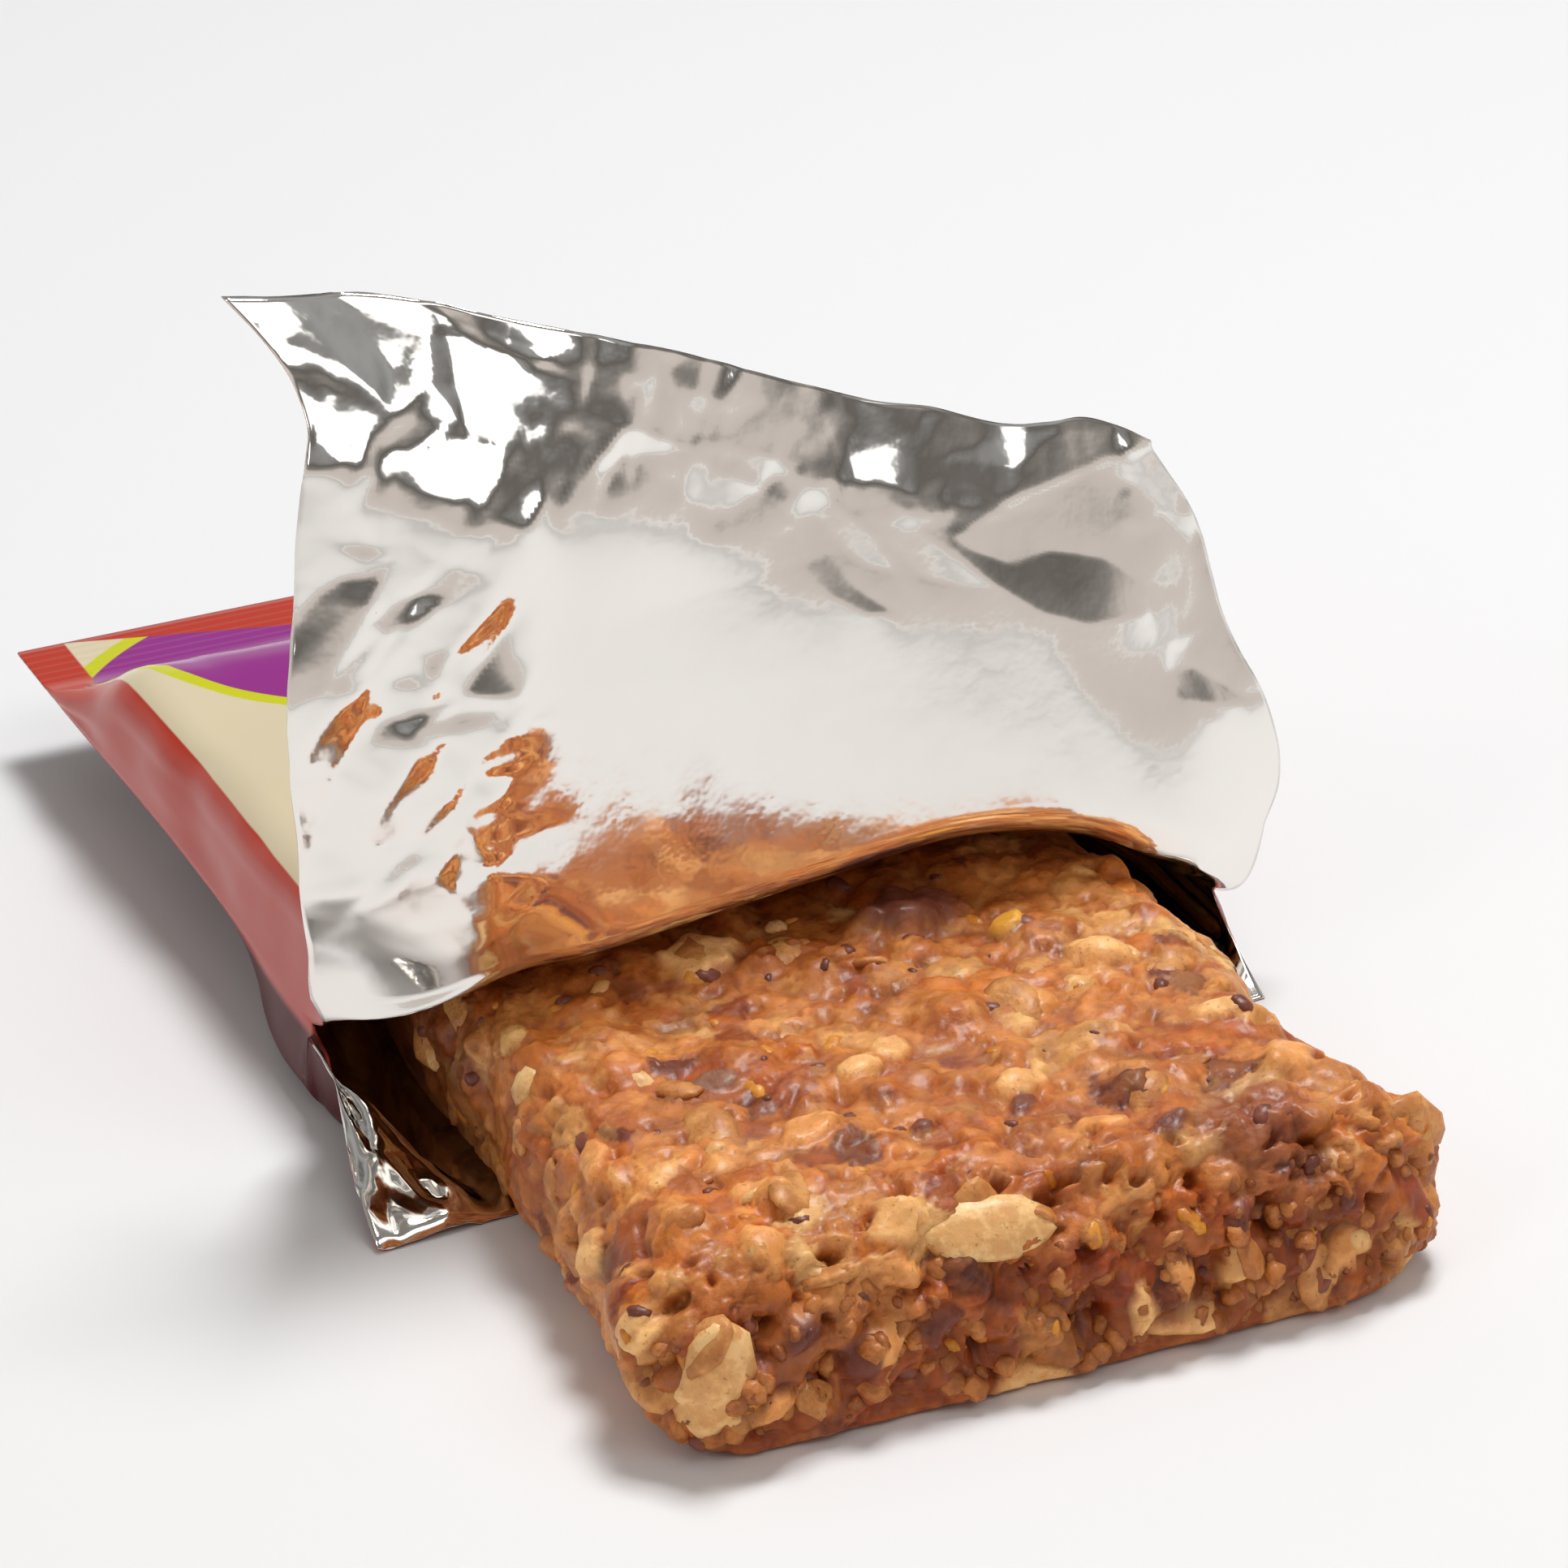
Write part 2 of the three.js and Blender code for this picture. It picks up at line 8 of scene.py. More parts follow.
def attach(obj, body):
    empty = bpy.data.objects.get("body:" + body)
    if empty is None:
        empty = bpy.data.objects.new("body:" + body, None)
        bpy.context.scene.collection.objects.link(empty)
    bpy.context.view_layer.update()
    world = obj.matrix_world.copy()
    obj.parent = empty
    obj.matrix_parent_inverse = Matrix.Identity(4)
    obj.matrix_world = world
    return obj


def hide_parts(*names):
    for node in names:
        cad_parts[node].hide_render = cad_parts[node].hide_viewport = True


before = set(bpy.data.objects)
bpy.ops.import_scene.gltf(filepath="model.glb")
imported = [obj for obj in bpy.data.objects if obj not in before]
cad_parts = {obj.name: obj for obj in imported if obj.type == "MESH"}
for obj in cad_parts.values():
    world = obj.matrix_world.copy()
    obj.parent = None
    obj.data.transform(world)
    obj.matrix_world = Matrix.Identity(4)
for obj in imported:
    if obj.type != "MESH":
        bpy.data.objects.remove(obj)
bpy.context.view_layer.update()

# ---- Camera ----
# A long lens looks down on the open end of the bar, from the left and 37 cm away.
# Places and sizes are in millimetres all through, and MM turns them into metres.
MM = 0.001
CAMERA_PLACE = (-126.99, -300.78, 179.98)
CAMERA_AZIMUTH = math.radians(-23.235)
CAMERA_ELEVATION = math.radians(27.107)
CAMERA_ROLL = math.radians(-1.354)
CAMERA_LENS = 162.44
SENSOR = 36

back = Vector((
    math.sin(CAMERA_AZIMUTH) * math.cos(CAMERA_ELEVATION),
    -math.cos(CAMERA_AZIMUTH) * math.cos(CAMERA_ELEVATION),
    math.sin(CAMERA_ELEVATION),
))
level = Vector((math.cos(CAMERA_AZIMUTH), math.sin(CAMERA_AZIMUTH), 0))
upward = back.cross(level)
right = math.cos(CAMERA_ROLL) * level + math.sin(CAMERA_ROLL) * upward
upward = back.cross(right)

camera = bpy.data.objects.new("camera", bpy.data.cameras.new("camera"))
camera.data.lens = CAMERA_LENS
camera.data.sensor_width = SENSOR
camera.data.clip_start = 0.01
camera.data.clip_end = 20
facing = Matrix((right, upward, back)).transposed().to_4x4()
camera.matrix_world = Matrix.Translation(Vector(CAMERA_PLACE) * MM) @ facing
bpy.context.scene.collection.objects.link(camera)
bpy.context.scene.camera = camera

# ---- The bar's body ----
# One pressed slab of oats, chopped nuts and fruit in a sticky syrup, 68 x 41 x 10 mm.
# It is cut on its long sides and broken off at its open end, where the crumb shows.
BAR_LEFT, BAR_RIGHT = -22.2, 18.5
BAR_FRONT, BAR_REAR = -41.6, 27.0
BAR_HEIGHT = 9.9
EDGE_REACH, EDGE_DROP, FOOT_RISE = 4.8, 4.2, 2.6
SHARP_FOOT = (0.3, 0.4)
CORNER_SWELL = {
    "left": 0.4, "right": 1.8, "from_y": -24, "over": 10,
    "fade_by": 0.5, "fade_from_z": 4, "fade_over": 5,
}
TAPER = {"by": 1.3, "from_y": -16, "over": 30}
LEFT_INSET = {"by": 1.7, "from_y": -36, "over": 14}
SIDE_WAVE, TOP_WAVE, SETTLE = 0.4, 0.22, 0.3
IN_SLEEVE = {"proud": 0.1, "from_y": -2, "over": 6}
BROKEN = {"reach": 8, "lean": 1.4, "crag": 1.1}
CALM_FOOT = 2.0
UNDERSIDE = {"rise": 0.65, "from_y": -18.0, "over": 1.6}
LUMPS = {
    "count": 190, "seed": 41, "reach": (1.4, 3.1), "rise": (0.25, 0.8), "share_on_sides": 0.3,
    "side_z": (2.5, 7.5), "crowd_to_front": 1.25, "mostly_small": 1.6, "dome": 1.3,
}
KEY_LUMPS = [  # place, reach, rise
    ((3.2, -37.6, 9.9), 3.8, 1.0),
    ((-18.4, -40.0, 4.4), 4.2, 0.9),
    ((16.8, -36.4, 8.0), 3.0, 0.6),
]
CELL, HIDDEN_CELL, HIDDEN_FROM_Y = 0.25, 1.3, -4.0

# Two sizes of grain cover the slab: each is a cell with its own height, tilt and colour.
CHUNKS = {
    "spacing": 2.5, "size_spread": 0.55, "height": 0.20, "tilt": 0.08,
    "groove": 0.20, "groove_width": 0.34, "seed": 11,
}
FLAKES = {
    "spacing": 1.1, "size_spread": 0.25, "height": 0.10, "tilt": 0.09,
    "groove": 0.09, "groove_width": 0.22, "seed": 23,
}
KINDS = {  # share of the grains, colour
    "syrup": (0.46, (0.60, 0.205, 0.040)),
    "oat": (0.28, (0.74, 0.330, 0.095)),
    "nut": (0.07, (0.88, 0.560, 0.220)),
    "amber": (0.11, (0.62, 0.165, 0.012)),
    "bran": (0.05, (0.30, 0.055, 0.012)),
    "raisin": (0.03, (0.14, 0.033, 0.014)),
}
KIND_TONES = (0.86, 1.14)


def smooth(t):
    q = np.clip(t, 0, 1)
    return q * q * (3 - 2 * q)


def lerp(a, b, t):
    return a + (b - a) * t


def steady_random(seed):
    """The same draws as the solid's own, so that the large lumps stand in the same places."""
    state = seed
    while True:
        state = (state + 0x6D2B79F5) & 0xFFFFFFFF
        t = state
        t = ((t ^ (t >> 15)) * (t | 1)) & 0xFFFFFFFF
        t = (t ^ (t + (t ^ (t >> 7)) * (t | 61))) & 0xFFFFFFFF
        yield (t ^ (t >> 14)) / 4294967296


def large_lumps():
    draw = steady_random(LUMPS["seed"]).__next__
    lumps = []
    for _ in range(LUMPS["count"]):
        on_side = draw() < LUMPS["share_on_sides"]
        y = lerp(BAR_FRONT, BAR_REAR, draw() ** LUMPS["crowd_to_front"])
        across = draw()
        if on_side:
            x = BAR_RIGHT if across >= 0.5 else BAR_LEFT
            z = lerp(*LUMPS["side_z"], draw())
        else:
            x, z = lerp(BAR_LEFT, BAR_RIGHT, across), BAR_HEIGHT
        reach = lerp(*LUMPS["reach"], draw() ** LUMPS["mostly_small"])
        lumps.append(((x, y, z), reach, lerp(*LUMPS["rise"], draw())))
    return lumps + KEY_LUMPS


def lump_rise(points):
    rise = np.zeros(len(points))
    for place, reach, height in large_lumps():
        d = np.linalg.norm(points - place, axis=1) / reach
        rise = np.maximum(rise, height * np.clip(1 - d * d, 0, None) ** LUMPS["dome"])
    return rise


def crag(p):
    """Roughness of the broken end, from -1 to 1."""
    x, y, z = p.T
    broad = np.sin(x * 0.92 + 1.7) * np.cos(z * 1.15 + y * 0.4)
    fine = np.sin(x * 1.9 - z * 1.3 + 0.6) * np.cos(z * 1.7 - 0.4)
    return 0.6 * broad + 0.4 * fine


def bar_form(p):
    """Puts points of the plain box on the rounded slab, and gives their directions outwards."""
    core = np.stack([
        np.clip(p[:, 0], BAR_LEFT + EDGE_REACH, BAR_RIGHT - EDGE_REACH),
        np.clip(p[:, 1], BAR_FRONT + EDGE_REACH, BAR_REAR - EDGE_REACH),
        np.clip(p[:, 2], FOOT_RISE, BAR_HEIGHT - EDGE_DROP),
    ], 1)
    off = p - core
    rise = np.where(off[:, 2] < 0, FOOT_RISE, EDGE_DROP)
    scale = np.stack([np.full_like(rise, EDGE_REACH), np.full_like(rise, EDGE_REACH), rise], 1)
    normal = off / scale
    normal /= np.linalg.norm(normal, axis=1)[:, None]
    q = core + normal * scale
    nx, ny, nz = normal.T
    off_table = smooth(q[:, 2] / CALM_FOOT)
    shown = smooth((IN_SLEEVE["from_y"] - q[:, 1]) / IN_SLEEVE["over"])
    front = smooth((BAR_FRONT + BROKEN["reach"] - q[:, 1]) / BROKEN["reach"])

    # The broken end keeps a squarer lower edge than the pressed sides.
    foot = (nz < 0) & (ny < 0)
    flat = np.hypot(nx, ny) + 1e-9
    facing = -ny / flat
    q[:, 1] = np.where(foot, core[:, 1] - EDGE_REACH * facing * flat ** SHARP_FOOT[0], q[:, 1])
    squarer = FOOT_RISE * (1 - lerp(-nz, np.abs(nz) ** SHARP_FOOT[1], facing))
    q[:, 2] = np.where(foot, squarer, q[:, 2])

    slow = np.sin(q[:, 1] * 0.23 + q[:, 0] * 0.11) * np.cos(q[:, 0] * 0.19 - 0.7)
    proud = lump_rise(q) + TOP_WAVE * slow - SETTLE
    q += normal * (off_table * lerp(np.minimum(proud, IN_SLEEVE["proud"]), proud, shown))[:, None]
    q[:, 1] += front * off_table * np.abs(ny) * BROKEN["crag"] * crag(q)
    q[:, 1] += front * BROKEN["lean"] * smooth(q[:, 2] / BAR_HEIGHT)
    q[:, 0] += np.abs(nx) * off_table * SIDE_WAVE * np.sin(q[:, 1] * 0.31 + np.sign(nx))

    by_front = smooth((CORNER_SWELL["from_y"] - q[:, 1]) / CORNER_SWELL["over"])
    higher = smooth((q[:, 2] - CORNER_SWELL["fade_from_z"]) / CORNER_SWELL["fade_over"])
    swell = np.where(nx < 0, CORNER_SWELL["left"], CORNER_SWELL["right"])
    q[:, 0] += nx * swell * by_front * (1 - CORNER_SWELL["fade_by"] * higher)
    q[:, 0] -= nx * TAPER["by"] * smooth((q[:, 1] - TAPER["from_y"]) / TAPER["over"])

    inset = LEFT_INSET["by"] * smooth((q[:, 1] - LEFT_INSET["from_y"]) / LEFT_INSET["over"])
    q[:, 0] += np.clip(-nx, 0, 1) * inset

    # The underside stands a little up where the film lies below it.
    under = UNDERSIDE["rise"] * smooth((q[:, 1] - UNDERSIDE["from_y"]) / UNDERSIDE["over"])
    q[:, 2] = np.where(q[:, 2] < under + 1, under + q[:, 2] * (1 - under), q[:, 2])
    return q, normal, shown * off_table, front


def slab_faces(xs, ys, zs):
    """Quads all over a box of cells. The hidden middle of its underside is one strip a row."""
    nx, ny, nz = len(xs) - 1, len(ys) - 1, len(zs) - 1

    def key(i, j, k):
        return (i * (ny + 1) + j) * (nz + 1) + k

    def patch(first, second, corner):
        i, j = (a.ravel() for a in np.meshgrid(np.arange(first), np.arange(second), indexing="ij"))
        return np.stack([corner(i, j), corner(i + 1, j), corner(i + 1, j + 1), corner(i, j + 1)], 1)

    quads = [
        patch(nx, ny, lambda i, j: key(i, j, nz)),
        patch(nx, nz, lambda i, k: key(i, 0, k)),
        patch(nx, nz, lambda i, k: key(i, ny, k))[:, ::-1],
        patch(ny, nz, lambda j, k: key(nx, j, k)),
        patch(ny, nz, lambda j, k: key(0, j, k))[:, ::-1],
    ]
    i0 = int(np.searchsorted(xs, BAR_LEFT + EDGE_REACH))
    i1 = int(np.searchsorted(xs, BAR_RIGHT - EDGE_REACH)) - 1
    j0 = int(np.searchsorted(ys, BAR_FRONT + EDGE_REACH))
    j1 = int(np.searchsorted(ys, BAR_REAR - EDGE_REACH)) - 1
    under = patch(nx, ny, lambda i, j: key(i, j, 0))[:, ::-1].reshape(nx, ny, 4)
    margin = np.ones((nx, ny), bool)
    margin[i0:i1, j0:j1] = False
    quads.append(under[margin])
    rows = np.arange(j0 + 1, j1 - 1)
    left, right = key(i0, rows, 0), key(i1, rows, 0)
    left_after, right_after = key(i0, rows + 1, 0), key(i1, rows + 1, 0)
    quads.append(np.stack([left, left_after, right_after, right], 1))
    steps = np.arange(i0, i1)
    corner = np.full_like(steps, key(i0, j0 + 1, 0))
    triangles = [np.stack([corner, key(steps + 1, j0, 0), key(steps, j0, 0)], 1)]
    corner = np.full_like(steps, key(i1, j1 - 1, 0))
    triangles.append(np.stack([corner, key(steps, j1, 0), key(steps + 1, j1, 0)], 1))
    triangles.append(np.array([
        [key(i0, j0 + 1, 0), key(i1, j0 + 1, 0), key(i1, j0, 0)],
        [key(i1, j1 - 1, 0), key(i0, j1 - 1, 0), key(i0, j1, 0)],
    ]))
    quads, triangles = np.concatenate(quads), np.concatenate(triangles)
    keys, back_to = np.unique(np.concatenate([quads.ravel(), triangles.ravel()]), return_inverse=True)
    i, rest = np.divmod(keys, (ny + 1) * (nz + 1))
    j, k = np.divmod(rest, nz + 1)
    points = np.stack([xs[i], ys[j], zs[k]], 1)
    quads = back_to[:quads.size].reshape(-1, 4)
    triangles = back_to[quads.size:].reshape(-1, 3)
    return points, quads.tolist() + triangles.tolist()


# A fixed seed gives the same bar each time the script runs.
NOISE_SEED = 3
NOISE_STEP = (17.3, 5.1, 9.7)
NEIGHBOURS, GROOVES_TO_FULL_RELIEF = 5, 3
noise.seed_set(NOISE_SEED)


def wander(points, scale, seed):
    """Smooth noise vectors for a row of points. Each seed reads another part of the noise."""
    away = Vector([seed * step for step in NOISE_STEP])
    return np.array([noise.noise_vector(Vector(p) * scale + away) for p in points])


def grains(points, size):
    """Each point's grain, the distance to the grain's border and the way from its centre."""
    draw = np.random.default_rng(size["seed"])
    spacing = size["spacing"]
    low, high = points.min(0) - spacing, points.max(0) + spacing
    count = int(np.prod(high - low) / spacing ** 3)
    centres = draw.uniform(low, high, (count, 3))
    bonus = draw.uniform(0, size["size_spread"], count)
    tree = kdtree.KDTree(count)
    for number, centre in enumerate(centres):
        tree.insert(centre, number)
    tree.balance()
    found = np.array([[(n, d) for _, n, d in tree.find_n(p, NEIGHBOURS)] for p in points])
    numbers = found[:, :, 0].astype(int)
    reach = found[:, :, 1] - bonus[numbers]
    order = np.argsort(reach, axis=1)
    row = np.arange(len(points))
    first = numbers[row, order[:, 0]]
    border = reach[row, order[:, 1]] - reach[row, order[:, 0]]
    return first, border, points - centres[first], count


def grain_relief(points, size):
    number, border, away, count = grains(points, size)
    draw = np.random.default_rng(size["seed"] + 1)
    height = draw.uniform(-1, 1, count) * size["height"]
    tilt = draw.normal(0, size["tilt"], (count, 3))
    relief = height[number] + (tilt[number] * away).sum(1)
    relief *= smooth(border / (GROOVES_TO_FULL_RELIEF * size["groove_width"]))
    relief -= size["groove"] * np.exp(-(border / size["groove_width"]) ** 2)
    return number, border, relief, count


xs = np.linspace(BAR_LEFT, BAR_RIGHT, round((BAR_RIGHT - BAR_LEFT) / CELL) + 1)
ys = np.concatenate([
    np.linspace(BAR_FRONT, HIDDEN_FROM_Y, round((HIDDEN_FROM_Y - BAR_FRONT) / CELL) + 1),
    np.linspace(HIDDEN_FROM_Y, BAR_REAR, round((BAR_REAR - HIDDEN_FROM_Y) / HIDDEN_CELL) + 1)[1:],
])
zs = np.linspace(0, BAR_HEIGHT, round(BAR_HEIGHT / CELL) + 1)
box_points, bar_faces = slab_faces(xs, ys, zs)
bar_points, bar_normals, bar_shown, bar_front = bar_form(box_points)

# The grains' borders wander, the relief is stronger in patches and at the break, and pits lie between.
WANDERING = [(0.5, 0.55, 1), (0.22, 2.1, 2)]  # how far, scale, seed
CRACKED = {"scale": 0.28, "seed": 3, "contrast": 2.2, "least": 0.40, "most": 0.95}
MORE_AT_BREAK = {"chunks": 0.8, "flakes": 0.9, "pits": 0.75}
PITS = {"scale": 0.9, "seed": 4, "from": 0.24, "over": 0.35, "depth": 0.3}

rough_places = bar_points
for how_far, scale, seed in WANDERING:
    rough_places = rough_places + how_far * wander(bar_points, scale, seed)
chunk, chunk_border, chunk_relief, chunk_count = grain_relief(rough_places, CHUNKS)
flake, flake_border, flake_relief, flake_count = grain_relief(rough_places, FLAKES)
cracked = smooth(0.5 + CRACKED["contrast"] * wander(bar_points, CRACKED["scale"], CRACKED["seed"])[:, 0])
relief = chunk_relief * lerp(CRACKED["least"], CRACKED["most"], cracked)
relief *= 1 + MORE_AT_BREAK["chunks"] * bar_front
relief += flake_relief * (1 + MORE_AT_BREAK["flakes"] * bar_front)
pits = wander(bar_points, PITS["scale"], PITS["seed"])[:, 0]
pit_depth = PITS["depth"] + MORE_AT_BREAK["pits"] * bar_front
relief -= pit_depth * smooth((pits - PITS["from"]) / PITS["over"])

# Pieces pressed flush into the slab: place, half length and half width, turn in degrees, rise, colour
NUT, OAT, DARK_FRUIT = (0.95, 0.52, 0.20), (0.84, 0.37, 0.11), (0.16, 0.040, 0.022)
AMBER_FRUIT, FRUIT_SKIN, RED_SKIN = (0.90, 0.46, 0.06), (0.24, 0.105, 0.060), (0.30, 0.055, 0.020)
INLAID = [
    ((-2.7, -23.5, 9.9), (1.5, 1.2), 30, 0.30, NUT),
    ((-4.9, -25.1, 9.9), (1.3, 0.9), 0, 0.25, NUT),
    ((10.9, -19.0, 9.9), (2.0, 1.4), -30, 0.35, NUT),
    ((-7.2, -10.4, 9.9), (2.6, 2.1), 60, 0.45, NUT),
    ((-22.0, -37.5, 6.4), (1.5, 1.2), 0, 0.3, NUT),
    ((-22.0, -30.0, 6.6), (1.4, 1.1), 20, 0.3, NUT),
    ((-19.6, -26.0, 9.0), (1.8, 1.0), 70, 0.25, OAT),
    ((1.7, -29.2, 9.9), (1.7, 0.9), 15, 0.2, NUT),
    ((3.5, -34.8, 9.6), (1.6, 1.1), -40, 0.3, OAT),
    ((13.6, -27.0, 9.9), (1.6, 0.9), -20, 0.25, NUT),
    ((-13.8, -33.5, 9.9), (1.8, 0.8), -25, 0.2, OAT),
    ((7.9, -14.6, 9.9), (1.4, 1.0), 40, 0.35, AMBER_FRUIT),
    ((-8.9, -38.8, 9.6), (1.8, 1.4), 10, 0.3, NUT),
    ((14.5, -33.0, 9.6), (2.2, 1.4), 50, 0.3, OAT),
    ((5.5, -22.0, 9.9), (2.0, 1.3), -60, 0.3, OAT),
    ((-9.5, -29.0, 9.9), (2.1, 1.2), 25, 0.3, OAT),
    ((-15.5, -37.5, 9.6), (1.7, 1.2), 80, 0.3, OAT),
    ((2.6, -41.6, 2.8), (1.9, 0.7), 85, 0.3, NUT),
    ((6.9, -41.6, 3.8), (1.6, 0.7), 70, 0.3, NUT),
    ((4.6, -41.6, 4.6), (1.5, 0.6), 100, 0.3, OAT),
    ((-3.0, -41.8, 0.9), (2.6, 0.6), 0, 0.25, NUT),
    ((4.5, -41.8, 0.9), (2.2, 0.5), 5, 0.25, NUT),
    ((-10.5, -41.8, 5.4), (1.3, 1.0), 20, 0.3, OAT),
    ((-16.5, -41.8, 2.4), (1.3, 0.9), 20, 0.3, OAT),
    ((13.5, -41.0, 3.0), (1.5, 0.9), 40, 0.3, OAT),
    ((-13.0, -20.3, 9.9), (1.5, 0.9), 20, 0.1, DARK_FRUIT),
    ((-11.6, -22.7, 9.9), (1.3, 0.9), -25, 0.15, FRUIT_SKIN),
    ((-13.4, -22.6, 9.9), (1.2, 0.9), 10, 0.1, FRUIT_SKIN),
    ((4.2, -10.6, 9.9), (3.3, 2.3), 15, 0.6, DARK_FRUIT),
    ((1.0, -31.1, 9.9), (1.0, 0.7), 30, 0.2, DARK_FRUIT),
    ((-4.5, -31.3, 9.9), (0.7, 0.6), 0, 0.25, DARK_FRUIT),
    ((6.5, -36.0, 9.7), (1.4, 0.9), 20, 0.15, DARK_FRUIT),
    ((-14.9, -41.8, 6.3), (1.2, 1.0), 0, 0.2, DARK_FRUIT),
    ((-13.0, -41.8, 3.8), (1.1, 1.4), 0, 0.2, DARK_FRUIT),
    ((-7.3, -41.8, 4.5), (1.4, 0.9), 30, 0.2, DARK_FRUIT),
    ((9.5, -41.5, 6.0), (1.3, 1.0), 60, 0.2, DARK_FRUIT),
    ((17.0, -38.5, 4.0), (0.9, 2.4), 0, 0.2, RED_SKIN),
]
RAGGED = {"by": 0.28, "scale": 0.9, "seed": 8}
INLAY_DEPTH, INLAY_EDGE, RELIEF_KEPT = 3, 0.3, 0.35
INLAY_MIDDLE, INLAY_FALL = 1.3, 0.4

ragged = RAGGED["by"] * wander(bar_points, RAGGED["scale"], RAGGED["seed"])
inlays = []
for place, half_sizes, turn, rise, tint in INLAID:
    middle = np.linalg.norm(bar_points - place, axis=1).argmin()
    out = Vector(bar_normals[middle]).normalized()
    side = (Vector((1, 0, 0)) - out * out.x).normalized()
    side.rotate(Quaternion(out, math.radians(turn)))
    off = bar_points - bar_points[middle]
    u, v = off @ side / half_sizes[0], off @ out.cross(side) / half_sizes[1]
    deep = off @ out / INLAY_DEPTH
    inside = smooth((1 - np.sqrt(u * u + v * v + deep * deep) + ragged[:, 0]) / INLAY_EDGE)
    inlays.append((inside, tint))
    dome = rise * (INLAY_MIDDLE - INLAY_FALL * (u * u + v * v))
    relief = lerp(relief, RELIEF_KEPT * relief + dome, inside)
bar_points += bar_normals * (relief * bar_shown)[:, None]
bar_points[:, 2] = np.maximum(bar_points[:, 2], 0)


def kind_colours(count, seed):
    draw = np.random.default_rng(seed)
    shares = np.cumsum([share for share, _ in KINDS.values()])
    colours = np.array([colour for _, colour in KINDS.values()])
    kind = np.searchsorted(shares / shares[-1], draw.uniform(0, 1, count))
    return colours[kind] * draw.uniform(*KIND_TONES, count)[:, None]


# Painted shade darkens the crevices and pits between the grains. The colour also varies in broad stains
# and is darker and warmer on the broken end.
CHUNK_COLOUR_SEED, FLAKE_COLOUR_SEED, FLAKE_SHARE = 31, 37, 0.35
CREVICE_SHADES = [(chunk_border, 0.28, 0.55), (flake_border, 0.14, 0.3)]  # border, width, strength
PIT_SHADE = {"from": 0.2, "over": 0.3, "strength": 0.5}
BROAD_STAIN = {"scale": 0.11, "seed": 6, "contrast": 1.8}
END_FACE = {"top": 8.5, "over": 3, "strength": 0.85}
CREVICE_SHADE_TINT, END_TINT = np.array([0.62, 0.45, 0.30]), np.array([0.64, 0.44, 0.30])
DARK_TINT, PALE_TINT = np.array([0.86, 0.74, 0.62]), np.array([1.06, 1.10, 1.16])
STAIN_EDGE, LEAST_STAIN, INLAY_SHARE, INLAY_MOTTLE, BRIGHTER = 1.25, 0.8, 0.9, 0.25, 1.1

chunk_colour = kind_colours(chunk_count, CHUNK_COLOUR_SEED)[chunk]
flake_colour = kind_colours(flake_count, FLAKE_COLOUR_SEED)[flake]
colour = lerp(chunk_colour, flake_colour, FLAKE_SHARE)
# Painted shade: a darker, browner colour along the grains' borders and in the pits.
crevice_shade = sum(np.exp(-(border / width) ** 2) * strength for border, width, strength in CREVICE_SHADES)
crevice_shade = crevice_shade + PIT_SHADE["strength"] * smooth((pits - PIT_SHADE["from"]) / PIT_SHADE["over"])
colour *= lerp(1, CREVICE_SHADE_TINT, np.clip(crevice_shade, 0, 1)[:, None])
broad = wander(bar_points, BROAD_STAIN["scale"], BROAD_STAIN["seed"])[:, 0]
stain = smooth(0.5 + BROAD_STAIN["contrast"] * broad)
colour *= lerp(DARK_TINT, PALE_TINT, stain[:, None])
end_face = bar_front * smooth((END_FACE["top"] - bar_points[:, 2]) / END_FACE["over"])
colour *= lerp(1, END_TINT, (END_FACE["strength"] * end_face)[:, None])

# Patches that tint the bar: dark patches near its front, painted shade where the flap and the film's
# mouth shade it and by its left side, and painted sheen.
STAINS_SHADE_AND_SHEEN = [  # place, reach, colour
    ((10.7, -37.2, 9.0), 4.2, (0.50, 0.36, 0.50)),
    ((-19.2, -41.0, 8.2), 1.8, (0.40, 0.22, 0.25)),
    ((-1.0, -37.0, 9.9), 3.0, (0.75, 0.58, 0.60)),
    ((-14.5, -42.0, 6.0), 2.6, (0.42, 0.45, 0.60)),
    ((11.0, -42.0, 4.5), 4.0, (0.52, 0.36, 0.36)),
    ((0.0, -42.0, 3.0), 3.5, (0.60, 0.50, 0.45)),
    # Painted shade: the top next to and under the flap, and the gap between the bar's left side and the
    # film.
    ((4.2, -10.5, 9.9), 3.6, (0.35, 0.25, 0.25)),
    ((-15.0, -24.0, 9.9), 6.0, (0.86, 0.72, 0.62)),
    ((-8.0, -14.0, 9.9), 6.0, (0.84, 0.74, 0.66)),
    ((2.0, -6.0, 9.9), 15.0, (0.72, 0.60, 0.50)),
    ((-20.8, -5.0, 4.0), 9.0, (0.34, 0.24, 0.18)),
    # Painted sheen: pale bluish patches on the top.
    ((9.0, -27.0, 9.9), 6.0, (1.06, 1.12, 1.25)),
    ((-10.0, -36.0, 9.9), 5.0, (1.08, 1.16, 1.30)),
]
for place, reach, tint in STAINS_SHADE_AND_SHEEN:
    off = np.linalg.norm(bar_points - place, axis=1) / reach
    colour *= lerp(1, np.array(tint), (smooth(STAIN_EDGE - off) * lerp(LEAST_STAIN, 1, stain))[:, None])
for inside, tint in inlays:
    toned = np.array(tint) * (1 + INLAY_MOTTLE * ragged[:, 1:2])
    colour = lerp(colour, toned, (INLAY_SHARE * inside)[:, None])
colour *= BRIGHTER


